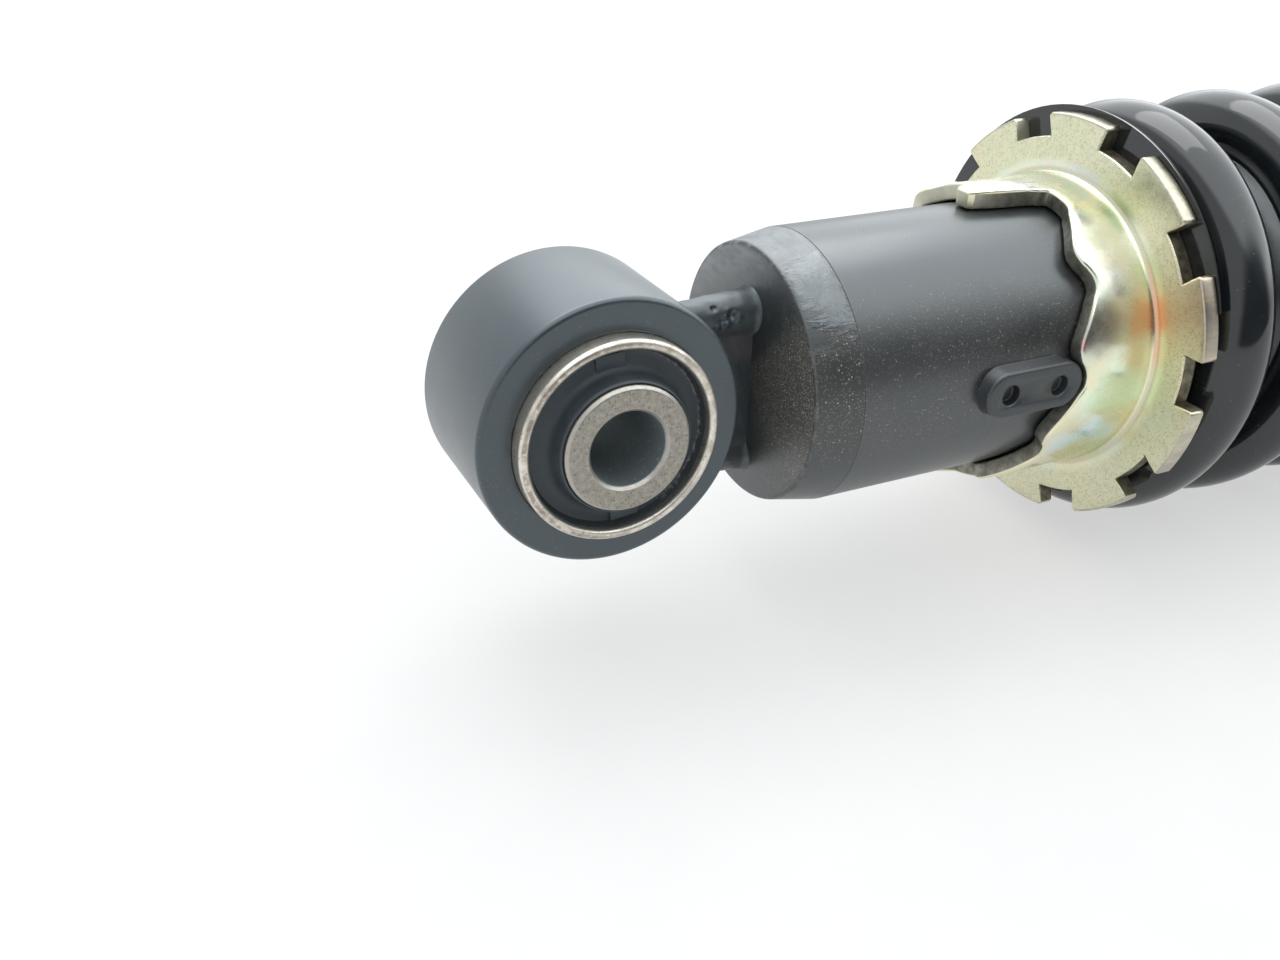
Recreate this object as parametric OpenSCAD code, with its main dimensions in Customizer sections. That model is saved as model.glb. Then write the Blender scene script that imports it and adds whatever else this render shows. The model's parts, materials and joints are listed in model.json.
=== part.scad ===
// Motorcycle rear shock absorber with a stepped preload cam.
// The origin is the centre of the lower eye's bore, +X runs along the damper to the upper eye,
// Y is the bolt axis of both eyes, and +Z is up as the shock lies on its side.

/* [Eyes] */
// Bore of the inner sleeves, for an M10 bolt
bolt_bore = 10.2; // [8.2:0.1:10.4]
// Outer diameter of the inner sleeves
inner_sleeve_od = 17; // [16.5:0.25:17.5]
// Length of the inner sleeves
inner_sleeve_len = 30.6; // [29:0.2:34]
// Outer diameter of the bushes' outer sleeves
outer_sleeve_od = 27.4; // [26.4:0.1:28.4]
// Wall of the bushes' outer sleeves
outer_sleeve_wall = 1.4; // [1.1:0.1:1.7]
// Length of the bushes' outer sleeves
outer_sleeve_len = 26.6; // [24:0.2:27.4]
// Outer diameter of the eye rings
eye_od = 36.4; // [35:0.2:40]
// Width of the eye rings along the bolt
eye_width = 21.4; // [19:0.2:22.4]

/* [Bush rubber] */
// How far the rubber's edge lies inside the outer sleeve's end
rubber_inset = 1.2; // [0.8:0.1:2]
// Depth of the rubber's face below its edge
rubber_dish = 0.7; // [0.4:0.1:2]
// How much of the inner sleeve stands out of the rubber that climbs it
rubber_collar_gap = 0.7; // [0.4:0.1:1]
// Radius of the hollow between the rubber's face and the inner sleeve
rubber_fillet = 1.5; // [0.8:0.1:1.8]
// Width of the moulded pads on the rubber's face
pad_width = 3.9; // [3:0.1:6]
// Height of the moulded pads on the rubber's face
pad_height = 2.3; // [1:0.1:2.4]
// Turn of the moulded pads about the bolt
pad_turn = -5.5; // [-20:0.5:20]

/* [Lower neck and end cap] */
// Shortest distance from the eye ring to the end cap
neck_len = 6.9; // [5:0.1:12]
// Thickness of the neck's middle plate
neck_thick = 3.4; // [2.6:0.1:4]
// Height of the neck where it meets the end cap
neck_height = 26; // [22:0.5:28]
// Radius of the neck's thick rounded edges at the eye ring
neck_edge_r = 2.2; // [1.8:0.1:2.5]
// Radius of the neck's thick rounded edges at the end cap
neck_toe_r = 3.2; // [2.8:0.1:3.8]
// Width of the weld round the middle plate's foot
weld_width = 0.9; // [0.5:0.1:1.2]
// Radius of the end cap's face
cap_face_r = 18.2; // [17:0.1:18.8]
// Length of the end cap's tapered band
cap_band_len = 6.7; // [4:0.1:9]
// Depth of the end cap's spigot in the tube
cap_spigot_len = 4.6; // [3:0.1:7]

/* [Damper tube] */
// Outer diameter of the damper tube
tube_od = 39; // [38.4:0.1:39.4]
// Wall of the damper tube
tube_wall = 2; // [1.8:0.1:2.2]
// Length of the damper tube
tube_len = 135.2; // [130:0.5:136]

/* [Stop lugs] */
// Length of a stop lug
lug_len = 16.6; // [14:0.2:20]
// Width of a stop lug
lug_width = 6.8; // [5.6:0.1:7.2]
// Height of a stop lug above the tube
lug_height = 2.2; // [2:0.1:3]
// Distance from the end cap to the lug's nose
lug_nose_offset = 35.1; // [32:0.1:37]
// Place of the first lug round the tube, from +Y towards +Z
lug_angle = 179.5; // [170:0.5:190]
// Diameter of the two holes in a lug
lug_hole_d = 3.1; // [1.6:0.1:3.6]
// Distance between the two holes in a lug
lug_hole_gap = 8.5; // [6:0.1:9]
// Depth of the holes in a lug
lug_hole_depth = 1.6; // [0.8:0.1:1.8]

/* [Preload cam] */
// Thickness of the cam's sheet
cam_sheet = 2.5; // [1.8:0.1:2.6]
// Clearance between the cam's neck and the tube
cam_clearance = 0.3; // [0.2:0.05:0.5]
// Outer diameter of the cam's flange
cam_flange_od = 62; // [59:0.2:64]
// Depth of the spanner notches in the flange
notch_depth = 3.4; // [2.4:0.1:4]
// Width of the spanner notches
notch_width = 7.3; // [5:0.1:9]
// Number of spanner notches
notch_count = 10; // [6:1:12]
// Place of the first spanner notch, from +Y towards +Z
notch_angle = 71; // [60:1:96]
// Height of the neck at the softest seat
cam_low = 7; // [6.4:0.1:9]
// Rise of the cam from one seat to the next
cam_step = 2.4; // [1.6:0.1:2.5]
// Turn from one seat to the next
cam_click_angle = 35.5; // [31:0.5:36]
// Height of the lip past the last seat
cam_lip = 3; // [1.6:0.1:3.4]
// Bend radius at the foot of the neck
cam_bend = 1.4; // [1:0.1:2.4]

/* [Coil spring] */
// Diameter of the spring wire
wire_d = 10; // [9:0.25:10.5]
// Mean diameter of the spring
spring_mean_d = 54; // [53.6:0.1:54.6]
// Length of the spring as fitted
spring_len = 165.5; // [160:0.5:175]
// Number of turns
coil_turns = 9.5; // [8:0.25:10]

/* [Rod and piston] */
// Diameter of the piston rod
rod_d = 12.5; // [12:0.25:14]
// Diameter of the rod's threaded end
rod_thread_d = 11.4; // [10.5:0.1:11.8]
// Diameter of the spigot that carries the piston
spigot_d = 10; // [8:0.25:11]
// Length of the piston
piston_len = 12; // [10:0.5:14]
// Length of the top-out bumper
bumper_len = 8.5; // [6:0.1:14]
// Length of the rod guide
guide_len = 14; // [11:0.5:16]
// Length of the oil seal
seal_len = 6; // [4.5:0.25:7]
// Length of the floating piston
float_len = 12; // [10:0.5:13]
// Gas chamber left under the floating piston
gas_len = 13; // [11:0.2:14]

/* [Upper end] */
// Thickness of the upper spring seat
seat_thick = 6; // [5:0.5:8]
// Depth of the upper spring seat's skirt below its face
skirt_depth = 9; // [6:0.5:12]
// Wall of the upper spring seat's skirt
skirt_wall = 1.8; // [1.4:0.1:2.6]
// Length of the bump stop
bump_len = 25; // [18:0.5:31]
// Outer diameter of the bump stop
bump_od = 33; // [28:0.5:36]
// Diameter of the upper eye's shank
shank_d = 24; // [20:0.5:28]
// Length of the upper eye's shank
shank_len = 14.8; // [10:0.2:18]
// Thickness of the upper eye's shoulder
shoulder_thick = 4; // [3:0.5:6]
// Diameter of the upper eye's shoulder
shoulder_d = 38; // [34:0.5:44]

/* [Hidden] */
$fn = 96;

// Clearances
fit_gap = 0.02;
run_gap = 0.05;
face_gap = 0.3;
overshoot = 1;
hub_gap = 0.05;

// Radii
bore_r = bolt_bore / 2;
inner_sleeve_r = inner_sleeve_od / 2;
outer_sleeve_r = outer_sleeve_od / 2;
eye_r = eye_od / 2;
tube_r = tube_od / 2;
tube_bore_r = tube_r - tube_wall;
rod_r = rod_d / 2;
wire_r = wire_d / 2;
coil_r = spring_mean_d / 2;

// Places along the damper's axis, from the lower eye up
cap_face_x = eye_r + neck_len;
tube_x0 = cap_face_x + cap_band_len;
tube_x1 = tube_x0 + tube_len;
cap_end_x = tube_x0 + cap_spigot_len;
lug_nose_x = tube_x0 + lug_nose_offset;
rest_seat = 2;
seat_count = 5;
flange_x = lug_nose_x + face_gap + cam_low + rest_seat * cam_step;
spring_x0 = flange_x + cam_sheet;
spring_x1 = spring_x0 + spring_len;
shoulder_x = spring_x1 + seat_thick;
upper_x = shoulder_x + shoulder_thick + shank_len + eye_r;

// The stack that closes the tube, from its mouth down
ring_thick = 1.3;
backing_thick = 1.5;
mouth_len = 2.2;
snap_x1 = tube_x1 - mouth_len;
snap_x0 = snap_x1 - ring_thick;
seal_x1 = snap_x0 - backing_thick;
guide_x1 = seal_x1 - seal_len;
guide_x0 = guide_x1 - guide_len;
dust_wall = 1.2;
dust_skirt = 8;
dust_face = 1.5;

// The stack on the rod's spigot, from the top-out bumper down
bumper_x0 = guide_x0 - face_gap - bumper_len;
bumper_wall = 4;
plate_thick = 2;
plate_rim = 5.5;
shim_thick = 0.35;
shim_count = 3;
shim_step = 1.6;
shims_len = shim_thick * shim_count;
compression_rim = 3.4;
rebound_rim = 5;
band_len = 6;
band_thick = 1;
piston_x1 = bumper_x0 - plate_thick - shims_len;
piston_x0 = piston_x1 - piston_len;
support_thick = 1.5;
support_d = 19;
nut_thick = 7.5;
support_x0 = piston_x0 - shims_len - support_thick;
nut_x0 = support_x0 - nut_thick;
rod_x0 = nut_x0 - 1;
float_x0 = cap_end_x + gas_len;
float_gap = 0.2;
ring_section_r = 1.1;

// The stack under the upper eye
lock_nut_thick = 7;
bump_washer_thick = 2;
washer_x0 = shoulder_x - lock_nut_thick - bump_washer_thick;
bump_x0 = washer_x0 - bump_len;
bump_washer_r = bump_od / 2 + 0.5;
socket_len = 16;
lock_nut_flats = 19;
piston_nut_flats = 16;

// Basic solids along the damper's axis and along the bolts

module along_x(x) {
    translate([x, 0, 0])
        rotate([0, 90, 0])
            children();
}

module disc_x(x0, x1, r) {
    along_x(x0)
        cylinder(r = r, h = x1 - x0);
}

module ring_x(x0, x1, outer, inner) {
    difference() {
        disc_x(x0, x1, outer);
        disc_x(x0 - overshoot, x1 + overshoot, inner);
    }
}

// A profile of [radius, x] points turned about the damper's axis
module turned_x(points) {
    along_x(0)
        rotate_extrude()
            polygon(points);
}

module torus_x(x, ring_r, section_r) {
    along_x(x)
        rotate_extrude()
            translate([ring_r, 0])
                circle(r = section_r, $fn = 32);
}

// A profile of [radius, y] points turned about a bolt axis at x
module turned_y(x, points) {
    translate([x, 0, 0])
        rotate([-90, 0, 0])
            rotate_extrude()
                polygon(points);
}

module hex_nut_x(x0, thick, flats, hole_r) {
    across_corners = flats / cos(30);
    chamfer = 0.08 * flats;
    difference() {
        intersection() {
            along_x(x0)
                cylinder(d = across_corners, h = thick, $fn = 6);
            turned_x([
                [0, x0], [across_corners / 2 - chamfer, x0],
                [across_corners / 2, x0 + chamfer / 2],
                [across_corners / 2, x0 + thick - chamfer / 2],
                [across_corners / 2 - chamfer, x0 + thick], [0, x0 + thick]
            ]);
        }
        disc_x(x0 - overshoot, x0 + thick + overshoot, hole_r);
    }
}

// Points of an arc, from angle a0 to a1, with its centre at c
function arc(c, r, a0, a1, n) =
    [for (i = [0:n]) c + r * [cos(a0 + (a1 - a0) * i / n), sin(a0 + (a1 - a0) * i / n)]];

// The parts of one eye's bush, about a bolt axis at x

module eye_ring(x) {
    half = eye_width / 2;
    edge = 0.8;
    turned_y(x, concat(
        [[0, -half]],
        arc([eye_r - edge, -half + edge], edge, -90, 0, 4),
        arc([eye_r - edge, half - edge], edge, 0, 90, 4),
        [[0, half]]
    ));
}

module eye_bore(x) {
    half = eye_width / 2;
    bevel = 0.4;
    r = outer_sleeve_r + fit_gap;
    turned_y(x, [
        [0, -half - overshoot], [r + bevel + overshoot, -half - overshoot], [r, -half + bevel],
        [r, half - bevel], [r + bevel + overshoot, half + overshoot], [0, half + overshoot]
    ]);
}

module outer_sleeve(x) {
    half = outer_sleeve_len / 2;
    inside = outer_sleeve_r - outer_sleeve_wall;
    edge = outer_sleeve_wall / 2;
    middle = outer_sleeve_r - edge;
    turned_y(x, concat(
        arc([middle, half - edge], edge, 0, 180, 8),
        arc([middle, -half + edge], edge, 180, 360, 8)
    ));
}

module bush_rubber(x) {
    half = outer_sleeve_len / 2 - rubber_inset;
    outside = outer_sleeve_r - outer_sleeve_wall - fit_gap;
    inside = inner_sleeve_r + run_gap;
    lip = 0.3;
    pad_edge = 1.2;
    floor_y = half - rubber_dish;
    collar_y = inner_sleeve_len / 2 - rubber_collar_gap;
    hollow = min(rubber_fillet, collar_y - floor_y - 0.1);
    corner = [inside + lip + hollow, floor_y + hollow];
    face = concat(
        [[inside, collar_y], [inside + lip, collar_y]],
        arc(corner, hollow, 180, 270, 5),
        [[outside - rubber_dish, floor_y], [outside, half]]
    );
    last = len(face) - 1;
    turned_y(x, concat(
        face,
        [for (i = [0:last]) [face[last - i][0], -face[last - i][1]]]
    ));
    for (side = [-1, 1], place = [-1, 1])
        rubber_pad(x, side, place * (outside - pad_edge - pad_height / 2), floor_y, half);
}

module rubber_pad(x, side, z, floor_y, half) {
    depth = half - floor_y;
    translate([x, 0, 0])
        rotate([0, pad_turn, 0])
            translate([0, side * (floor_y + depth / 2 - 0.2), z])
                cube([pad_width, depth, pad_height], center = true);
}

module inner_sleeve(x) {
    half = inner_sleeve_len / 2;
    bevel = 0.5;
    turned_y(x, [
        [bore_r + bevel, -half], [inner_sleeve_r - bevel, -half], [inner_sleeve_r, -half + bevel],
        [inner_sleeve_r, half - bevel], [inner_sleeve_r - bevel, half], [bore_r + bevel, half],
        [bore_r, half - bevel], [bore_r, -half + bevel]
    ]);
}

// The lower end

// The neck: a plate whose upper and lower edges are thick and rounded, and widen to the end cap

neck_edge_z = neck_height / 2 - neck_toe_r;

module neck_plate() {
    start = outer_sleeve_r + 1;
    translate([start, -neck_thick / 2, -neck_edge_z])
        cube([cap_face_x - start, neck_thick, 2 * neck_edge_z]);
}

module neck_edge(side) {
    root = 2.5;
    toe = 0.3;
    steps = 6;
    x0 = sqrt(eye_r * eye_r - neck_edge_z * neck_edge_z) - root;
    span = cap_face_x - toe - x0;
    translate([0, 0, side * neck_edge_z])
        turned_x(concat(
            [[0, x0]],
            [
                for (i = [0:steps])
                    let (f = i / steps)
                    [neck_edge_r + (neck_toe_r - neck_edge_r) * f * f, x0 + span * f]
            ],
            [[neck_toe_r, cap_face_x], [0, cap_face_x]]
        ));
}

module weld_foot() {
    thin = 0.2;
    half = neck_thick / 2;
    hull() {
        translate([cap_face_x - thin, -half - weld_width, -neck_edge_z])
            cube([thin, neck_thick + 2 * weld_width, 2 * neck_edge_z]);
        translate([cap_face_x - weld_width - thin, -half, -neck_edge_z])
            cube([thin, neck_thick, 2 * neck_edge_z]);
    }
}

module lower_eye() {
    color("#2b2f33")
        difference() {
            union() {
                eye_ring(0);
                neck_plate();
                weld_foot();
                for (side = [-1, 1])
                    neck_edge(side);
            }
            eye_bore(0);
        }
}

module lower_outer_sleeve() {
    color("#7a7068") outer_sleeve(0);
}

module lower_bush_rubber() {
    color("#1d2226") bush_rubber(0);
}

module lower_inner_sleeve() {
    color("#8d8781") inner_sleeve(0);
}

module end_cap() {
    spigot_r = tube_bore_r - fit_gap;
    edge = 0.5;
    hollow_r = spigot_r - 4.5;
    hollow = 2.4;
    color("#24262a")
        turned_x([
            [0, cap_face_x], [cap_face_r - edge, cap_face_x], [cap_face_r, cap_face_x + edge],
            [tube_r, tube_x0], [spigot_r, tube_x0], [spigot_r, cap_end_x - edge],
            [spigot_r - edge, cap_end_x], [hollow_r, cap_end_x],
            [hollow_r - hollow, cap_end_x - hollow], [0, cap_end_x - hollow]
        ]);
}

module damper_tube() {
    groove = 0.9;
    edge = 0.5;
    color("#26282b")
        difference() {
            turned_x([
                [tube_bore_r, tube_x0], [tube_r, tube_x0], [tube_r, tube_x1 - edge],
                [tube_r - edge, tube_x1], [tube_bore_r + edge, tube_x1], [tube_bore_r, tube_x1 - edge]
            ]);
            disc_x(snap_x0, snap_x1, tube_bore_r + groove);
        }
}

// Each lug is a stadium block that sits on the tube and has two blind holes
module stop_lug() {
    top_r = tube_r + lug_height;
    end_r = lug_width / 2;
    base = tube_r - 1;
    x1 = lug_nose_x - end_r;
    x0 = lug_nose_x - lug_len + end_r;
    middle = (x0 + x1) / 2;
    difference() {
        union() {
            for (x = [x0, x1])
                translate([x, base, 0])
                    rotate([-90, 0, 0])
                        cylinder(r = end_r, h = top_r - base);
            translate([x0, base, -end_r])
                cube([x1 - x0, top_r - base, lug_width]);
        }
        disc_x(x0 - lug_width, x1 + lug_width, tube_r);
        for (side = [-1, 1])
            translate([middle + side * lug_hole_gap / 2, top_r - lug_hole_depth, 0])
                rotate([-90, 0, 0])
                    cylinder(d = lug_hole_d, h = lug_hole_depth + overshoot);
    }
}

module preload_stop_lugs() {
    color("#2a2c2f")
        for (turn = [0, 180])
            rotate([lug_angle + turn, 0, 0])
                stop_lug();
}

// The preload cam: a pressed flange with spanner notches and a neck whose edge climbs in steps,
// twice round. The lug's nose follows a straight helix over the seats, so no riser stands above it.

function smooth(t) = let (u = min(1, max(0, t))) u * u * (3 - 2 * u);

first_seat_angle = lug_angle - rest_seat * cam_click_angle;
cam_top = cam_low + (seat_count - 1) * cam_step;
cam_inner_r = tube_r + cam_clearance;
cam_outer_r = cam_inner_r + cam_sheet;
cam_middle_r = (cam_inner_r + cam_outer_r) / 2;
nose_half_turn = asin(lug_width / 2 / tube_r);
seat_overlap = 0.14 * cam_click_angle;
lip_turn = 3;
drop_turn = 3.5;
drop_gap = 1.5;
cut_over = 0.5;

// Share of the rise from one seat to the next: flat at the seat, then a steep riser
function riser(f) = f * smooth((f - 0.35) / 0.4);

// Space over a stretch of the neck's edge, from points of [angle, height above the flange].
// The angles count from the middle of the stretch.
module space_over_edge(middle, points) {
    reach = 4;
    top = cam_top + cam_lip + 2;
    last = len(points) - 1;
    outline = concat([[points[0][0], top]], points, [[points[last][0], top]]);
    rotate([middle, 0, 0])
        translate([0, cam_outer_r + reach, 0])
            rotate([90, 0, 0])
                linear_extrude(height = cam_sheet + 2 * reach)
                    polygon([for (p = outline) [flange_x - p[1], cam_middle_r * sin(p[0])]]);
}

// Points of the riser after a seat, running past the next seat's level
function riser_points(seat) = concat(
    [
        for (i = [0:8])
            let (f = 0.35 + 0.4 * i / 8)
            [f * cam_click_angle, seat + cam_step * riser(f)]
    ],
    [[1.05 * cam_click_angle, seat + 1.15 * cam_step]]
);

function counted_from(middle, points) = [for (p = points) [p[0] - middle, p[1]]];

// The drop from the lip, the first seat and the riser after it
module space_at_first_seat() {
    middle = 8;
    count = 6;
    foot = -nose_half_turn - drop_gap;
    drop = [
        for (i = [0:count])
            let (s = 1 - i / count)
            [foot - drop_turn * s, cam_low + (cam_top + cam_lip + cut_over - cam_low) * smooth(s)]
    ];
    space_over_edge(first_seat_angle + middle, counted_from(middle, concat(drop, riser_points(cam_low))));
}

// A later seat and the riser after it
module space_at_seat(k) {
    middle = cam_click_angle / 2;
    seat = cam_low + k * cam_step;
    space_over_edge(
        first_seat_angle + k * cam_click_angle + middle,
        counted_from(middle, concat([[-seat_overlap, seat]], riser_points(seat)))
    );
}

// The last seat, and the rise to the lip that ends the cam
module space_at_last_seat() {
    middle = 5;
    count = 5;
    start = nose_half_turn + 1;
    space_over_edge(first_seat_angle + (seat_count - 1) * cam_click_angle + middle, concat(
        [[-seat_overlap - middle, cam_top]],
        [
            for (i = [0:count])
                [start + lip_turn * i / count - middle, cam_top + (cam_lip + cut_over) * smooth(i / count)]
        ]
    ));
}

module preload_cam() {
    flange_r = cam_flange_od / 2;
    back_x = flange_x + cam_sheet;
    top_x = flange_x - cam_top - cam_lip;
    edge = 0.6;
    back_bend = cam_bend + 0.6;
    floor_r = flange_r - notch_depth;
    color("#c9b86a")
        difference() {
            turned_x(concat(
                [[cam_inner_r, top_x], [cam_outer_r, top_x]],
                arc([cam_outer_r + cam_bend, flange_x - cam_bend], cam_bend, 180, 90, 6),
                arc([flange_r - edge, flange_x + edge], edge, -90, 0, 4),
                [[flange_r, back_x]],
                arc([cam_inner_r + back_bend, back_x - back_bend], back_bend, 90, 180, 6)
            ));
            for (turn = [0, 180])
                rotate([turn, 0, 0]) {
                    space_at_first_seat();
                    for (k = [1:seat_count - 2])
                        space_at_seat(k);
                    space_at_last_seat();
                }
            for (i = [0:notch_count - 1])
                rotate([notch_angle + i * 360 / notch_count, 0, 0])
                    translate([flange_x - overshoot, floor_r, -notch_width / 2])
                        cube([cam_sheet + 2 * overshoot, notch_depth + overshoot, notch_width]);
        }
}

// The spring: a left-hand coil with closed ends, each ground flat over its first turn

closed_turns = 0.95;
blend_turns = 0.5;
closed_pitch = wire_d * 1.05;
tip_share = 0.25;
tip_angle = 160;
wire_sides = 12;
rings_per_turn = 24;

// Height of the wire's centre above the end of the closed turn's line, u turns from the tip
function climb(u, pitch) =
    let (s = max(0, u - closed_turns), half = min(1, s / blend_turns))
    closed_pitch * u + (pitch - closed_pitch) * (s - blend_turns * half * (1 - half / 2));

free_turns = coil_turns - 2 * closed_turns - blend_turns;
centre_rise = spring_len + 2 * tip_share * wire_d;
active_pitch = (centre_rise - closed_pitch * (coil_turns - free_turns)) / free_turns;

// Distance of the wire's centre from the near ground end
function centre_from_end(u) = climb(u, active_pitch) - tip_share * wire_d;

// One ring of points round the wire, flattened where it would pass the ground face.
// side is 1 at the lower end and -1 at the upper one.
function wire_ring(centre, turn, side) =
    let (
        share = max(-1, min(1, -centre / wire_r)),
        start = max(asin(share), -90 + 180 / wire_sides)
    )
    [
        for (i = [0:wire_sides - 1])
            let (
                a = start + (180 - 2 * start) * i / (wire_sides - 1),
                r = coil_r + wire_r * cos(a),
                x = max(0, centre + wire_r * sin(a))
            )
            [side > 0 ? spring_x0 + x : spring_x1 - x, r * cos(turn), r * sin(turn)]
    ];

function ring_points(ring, side) =
    side > 0 ? ring : [for (i = [0:wire_sides - 1]) ring[(wire_sides - 1 - i)]];

module coil_spring() {
    count = round(coil_turns * rings_per_turn);
    middle = coil_turns / 2;
    rings = [
        for (n = [0:count])
            let (
                u = coil_turns * n / count,
                side = u < middle ? 1 : -1,
                from_end = side > 0 ? u : coil_turns - u,
                turn = tip_angle - 360 * u
            )
            ring_points(wire_ring(centre_from_end(from_end), turn, side), side)
    ];
    last = count * wire_sides;
    faces = concat(
        [[for (i = [0:wire_sides - 1]) i]],
        [
            for (n = [0:count - 1], i = [0:wire_sides - 1])
                let (j = (i + 1) % wire_sides, a = n * wire_sides, b = a + wire_sides)
                each [[a + i, b + i, a + j], [a + j, b + i, b + j]]
        ],
        [[for (i = [0:wire_sides - 1]) last + wire_sides - 1 - i]]
    );
    color("#17181a")
        polyhedron(points = [for (ring = rings) each ring], faces = faces, convexity = 12);
}

// The floating piston and the parts that close the tube

module floating_piston() {
    r = tube_bore_r - float_gap;
    x1 = float_x0 + float_len;
    groove_x = float_x0 + float_len / 2;
    groove = 2 * ring_section_r - float_gap + 2 * run_gap;
    half = ring_section_r + 0.4;
    cup_r = r - 4;
    cup = float_len / 2 - 1;
    edge = 0.6;
    color("#b9bcc0")
        turned_x([
            [0, float_x0 + cup], [cup_r - 1, float_x0 + cup], [cup_r, float_x0],
            [r - edge, float_x0], [r, float_x0 + edge], [r, groove_x - half],
            [r - groove, groove_x - half], [r - groove, groove_x + half], [r, groove_x + half],
            [r, x1 - edge], [r - edge, x1], [0, x1]
        ]);
}

module floating_piston_o_ring() {
    color("#141414")
        torus_x(float_x0 + float_len / 2, tube_bore_r - run_gap - ring_section_r, ring_section_r);
}

module rod_guide() {
    r = tube_bore_r - fit_gap;
    bush_r = rod_r + run_gap + 1 + fit_gap;
    groove_x = guide_x0 + guide_len / 2;
    groove = 2 * ring_section_r + run_gap;
    half = ring_section_r + 0.4;
    edge = 0.6;
    color("#a9adb1")
        turned_x([
            [bush_r, guide_x0], [r - 3, guide_x0], [r - 3, guide_x0 + 2], [r, guide_x0 + 3],
            [r, groove_x - half], [r - groove, groove_x - half], [r - groove, groove_x + half],
            [r, groove_x + half], [r, guide_x1 - edge], [r - edge, guide_x1], [bush_r, guide_x1]
        ]);
}

module guide_bush() {
    color("#8a6b3c")
        ring_x(guide_x0 + 1, guide_x1 - 1, rod_r + run_gap + 1, rod_r + run_gap);
}

module rod_guide_o_ring() {
    color("#141414")
        torus_x(guide_x0 + guide_len / 2, tube_bore_r - fit_gap - ring_section_r, ring_section_r);
}

module oil_seal() {
    r = tube_bore_r - fit_gap;
    lip = rod_r + run_gap;
    color("#1a1a1c")
        turned_x([
            [lip + 3, guide_x1], [r, guide_x1], [r, seal_x1], [lip + 0.6, seal_x1],
            [lip, seal_x1 - 1], [lip + 0.8, seal_x1 - 2.2], [lip, guide_x1 + 2.2],
            [lip + 0.6, guide_x1 + 1]
        ]);
}

module seal_backing_ring() {
    color("#9a9ea2")
        ring_x(seal_x1, snap_x0, tube_bore_r - fit_gap, rod_r + 0.8);
}

module snap_ring() {
    outer = tube_bore_r + 0.8;
    inner = tube_bore_r - 1.6;
    gap = 6;
    color("#4a4d50")
        difference() {
            ring_x(snap_x0, snap_x1, outer, inner);
            translate([snap_x0 - overshoot, inner - 2, -gap / 2])
                cube([ring_thick + 2 * overshoot, 6, gap]);
        }
}

module dust_cap() {
    inner = tube_r + fit_gap;
    outer = inner + dust_wall;
    face_x = tube_x1 + dust_face;
    hole = rod_r + 0.3;
    edge = 0.8;
    color("#1c1d1f")
        turned_x([
            [inner, tube_x1 - dust_skirt], [outer, tube_x1 - dust_skirt], [outer, face_x - edge],
            [outer - edge, face_x], [hole, face_x], [hole, tube_x1], [inner, tube_x1]
        ]);
}

// The piston rod and what it carries inside the tube

module piston_rod() {
    thread_r = rod_thread_d / 2;
    spigot_r = spigot_d / 2;
    end_x = shoulder_x + socket_len;
    bevel = 0.8;
    color("#c4c7ca")
        turned_x([
            [0, rod_x0], [spigot_r - bevel, rod_x0], [spigot_r, rod_x0 + bevel],
            [spigot_r, bumper_x0], [rod_r, bumper_x0], [rod_r, washer_x0],
            [thread_r, washer_x0], [thread_r, end_x - bevel], [thread_r - bevel, end_x], [0, end_x]
        ]);
}

module top_out_bumper() {
    x1 = bumper_x0 + bumper_len;
    r0 = rod_r + hub_gap;
    r1 = rod_r + bumper_wall;
    waist = 0.9;
    color("#3a2f2a")
        turned_x([
            [r0, bumper_x0], [r1, bumper_x0], [r1, bumper_x0 + 2],
            [r1 - waist, bumper_x0 + bumper_len / 2], [r1, x1 - 2], [r1 - 0.8, x1], [r0, x1]
        ]);
}

module stop_plate() {
    color("#8f9397")
        ring_x(bumper_x0 - plate_thick, bumper_x0, rod_r + plate_rim, spigot_d / 2 + hub_gap);
}

// A stack of thin discs, widest against the piston, as one outline of steps
module shim_stack(x, direction, widest) {
    hole = spigot_d / 2 + hub_gap;
    turned_x(concat(
        [[hole, x]],
        [
            for (i = [0:shim_count - 1], end = [0, 1])
                [widest - shim_step * i, x + direction * shim_thick * (i + end)]
        ],
        [[hole, x + direction * shims_len]]
    ));
}

module compression_shims() {
    color("#b4b8bb") shim_stack(piston_x1, 1, tube_bore_r - compression_rim);
}

module rebound_shims() {
    color("#b4b8bb") shim_stack(piston_x0, -1, tube_bore_r - rebound_rim);
}

module piston() {
    r = tube_bore_r - face_gap;
    hole = spigot_d / 2 + hub_gap;
    band_half = band_len / 2;
    band_x = (piston_x0 + piston_x1) / 2;
    band_r = tube_bore_r - band_thick;
    rim = 1;
    ports = 6;
    port_r = 1.7;
    port_circle = (r + hole) / 2 + 0.6;
    color("#9b9fa3")
        difference() {
            turned_x([
                [hole, piston_x0], [r - rim, piston_x0], [r, piston_x0 + rim],
                [r, band_x - band_half], [band_r, band_x - band_half],
                [band_r, band_x + band_half], [r, band_x + band_half],
                [r, piston_x1 - rim], [r - rim, piston_x1], [hole, piston_x1]
            ]);
            for (i = [0:ports - 1])
                rotate([i * 360 / ports, 0, 0])
                    translate([0, port_circle, 0])
                        disc_x(piston_x0 - overshoot, piston_x1 + overshoot, port_r);
        }
}

module piston_band() {
    band_half = band_len / 2 - fit_gap;
    band_x = (piston_x0 + piston_x1) / 2;
    inside = tube_bore_r - band_thick + fit_gap;
    color("#2e3a38")
        ring_x(band_x - band_half, band_x + band_half, tube_bore_r - run_gap, inside);
}

module shim_support_washer() {
    color("#8f9397")
        ring_x(support_x0, support_x0 + support_thick, support_d / 2, spigot_d / 2 + hub_gap);
}

module piston_nut() {
    color("#7e8286")
        hex_nut_x(nut_x0, nut_thick, piston_nut_flats, spigot_d / 2 + hub_gap);
}

// The upper end

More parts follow.
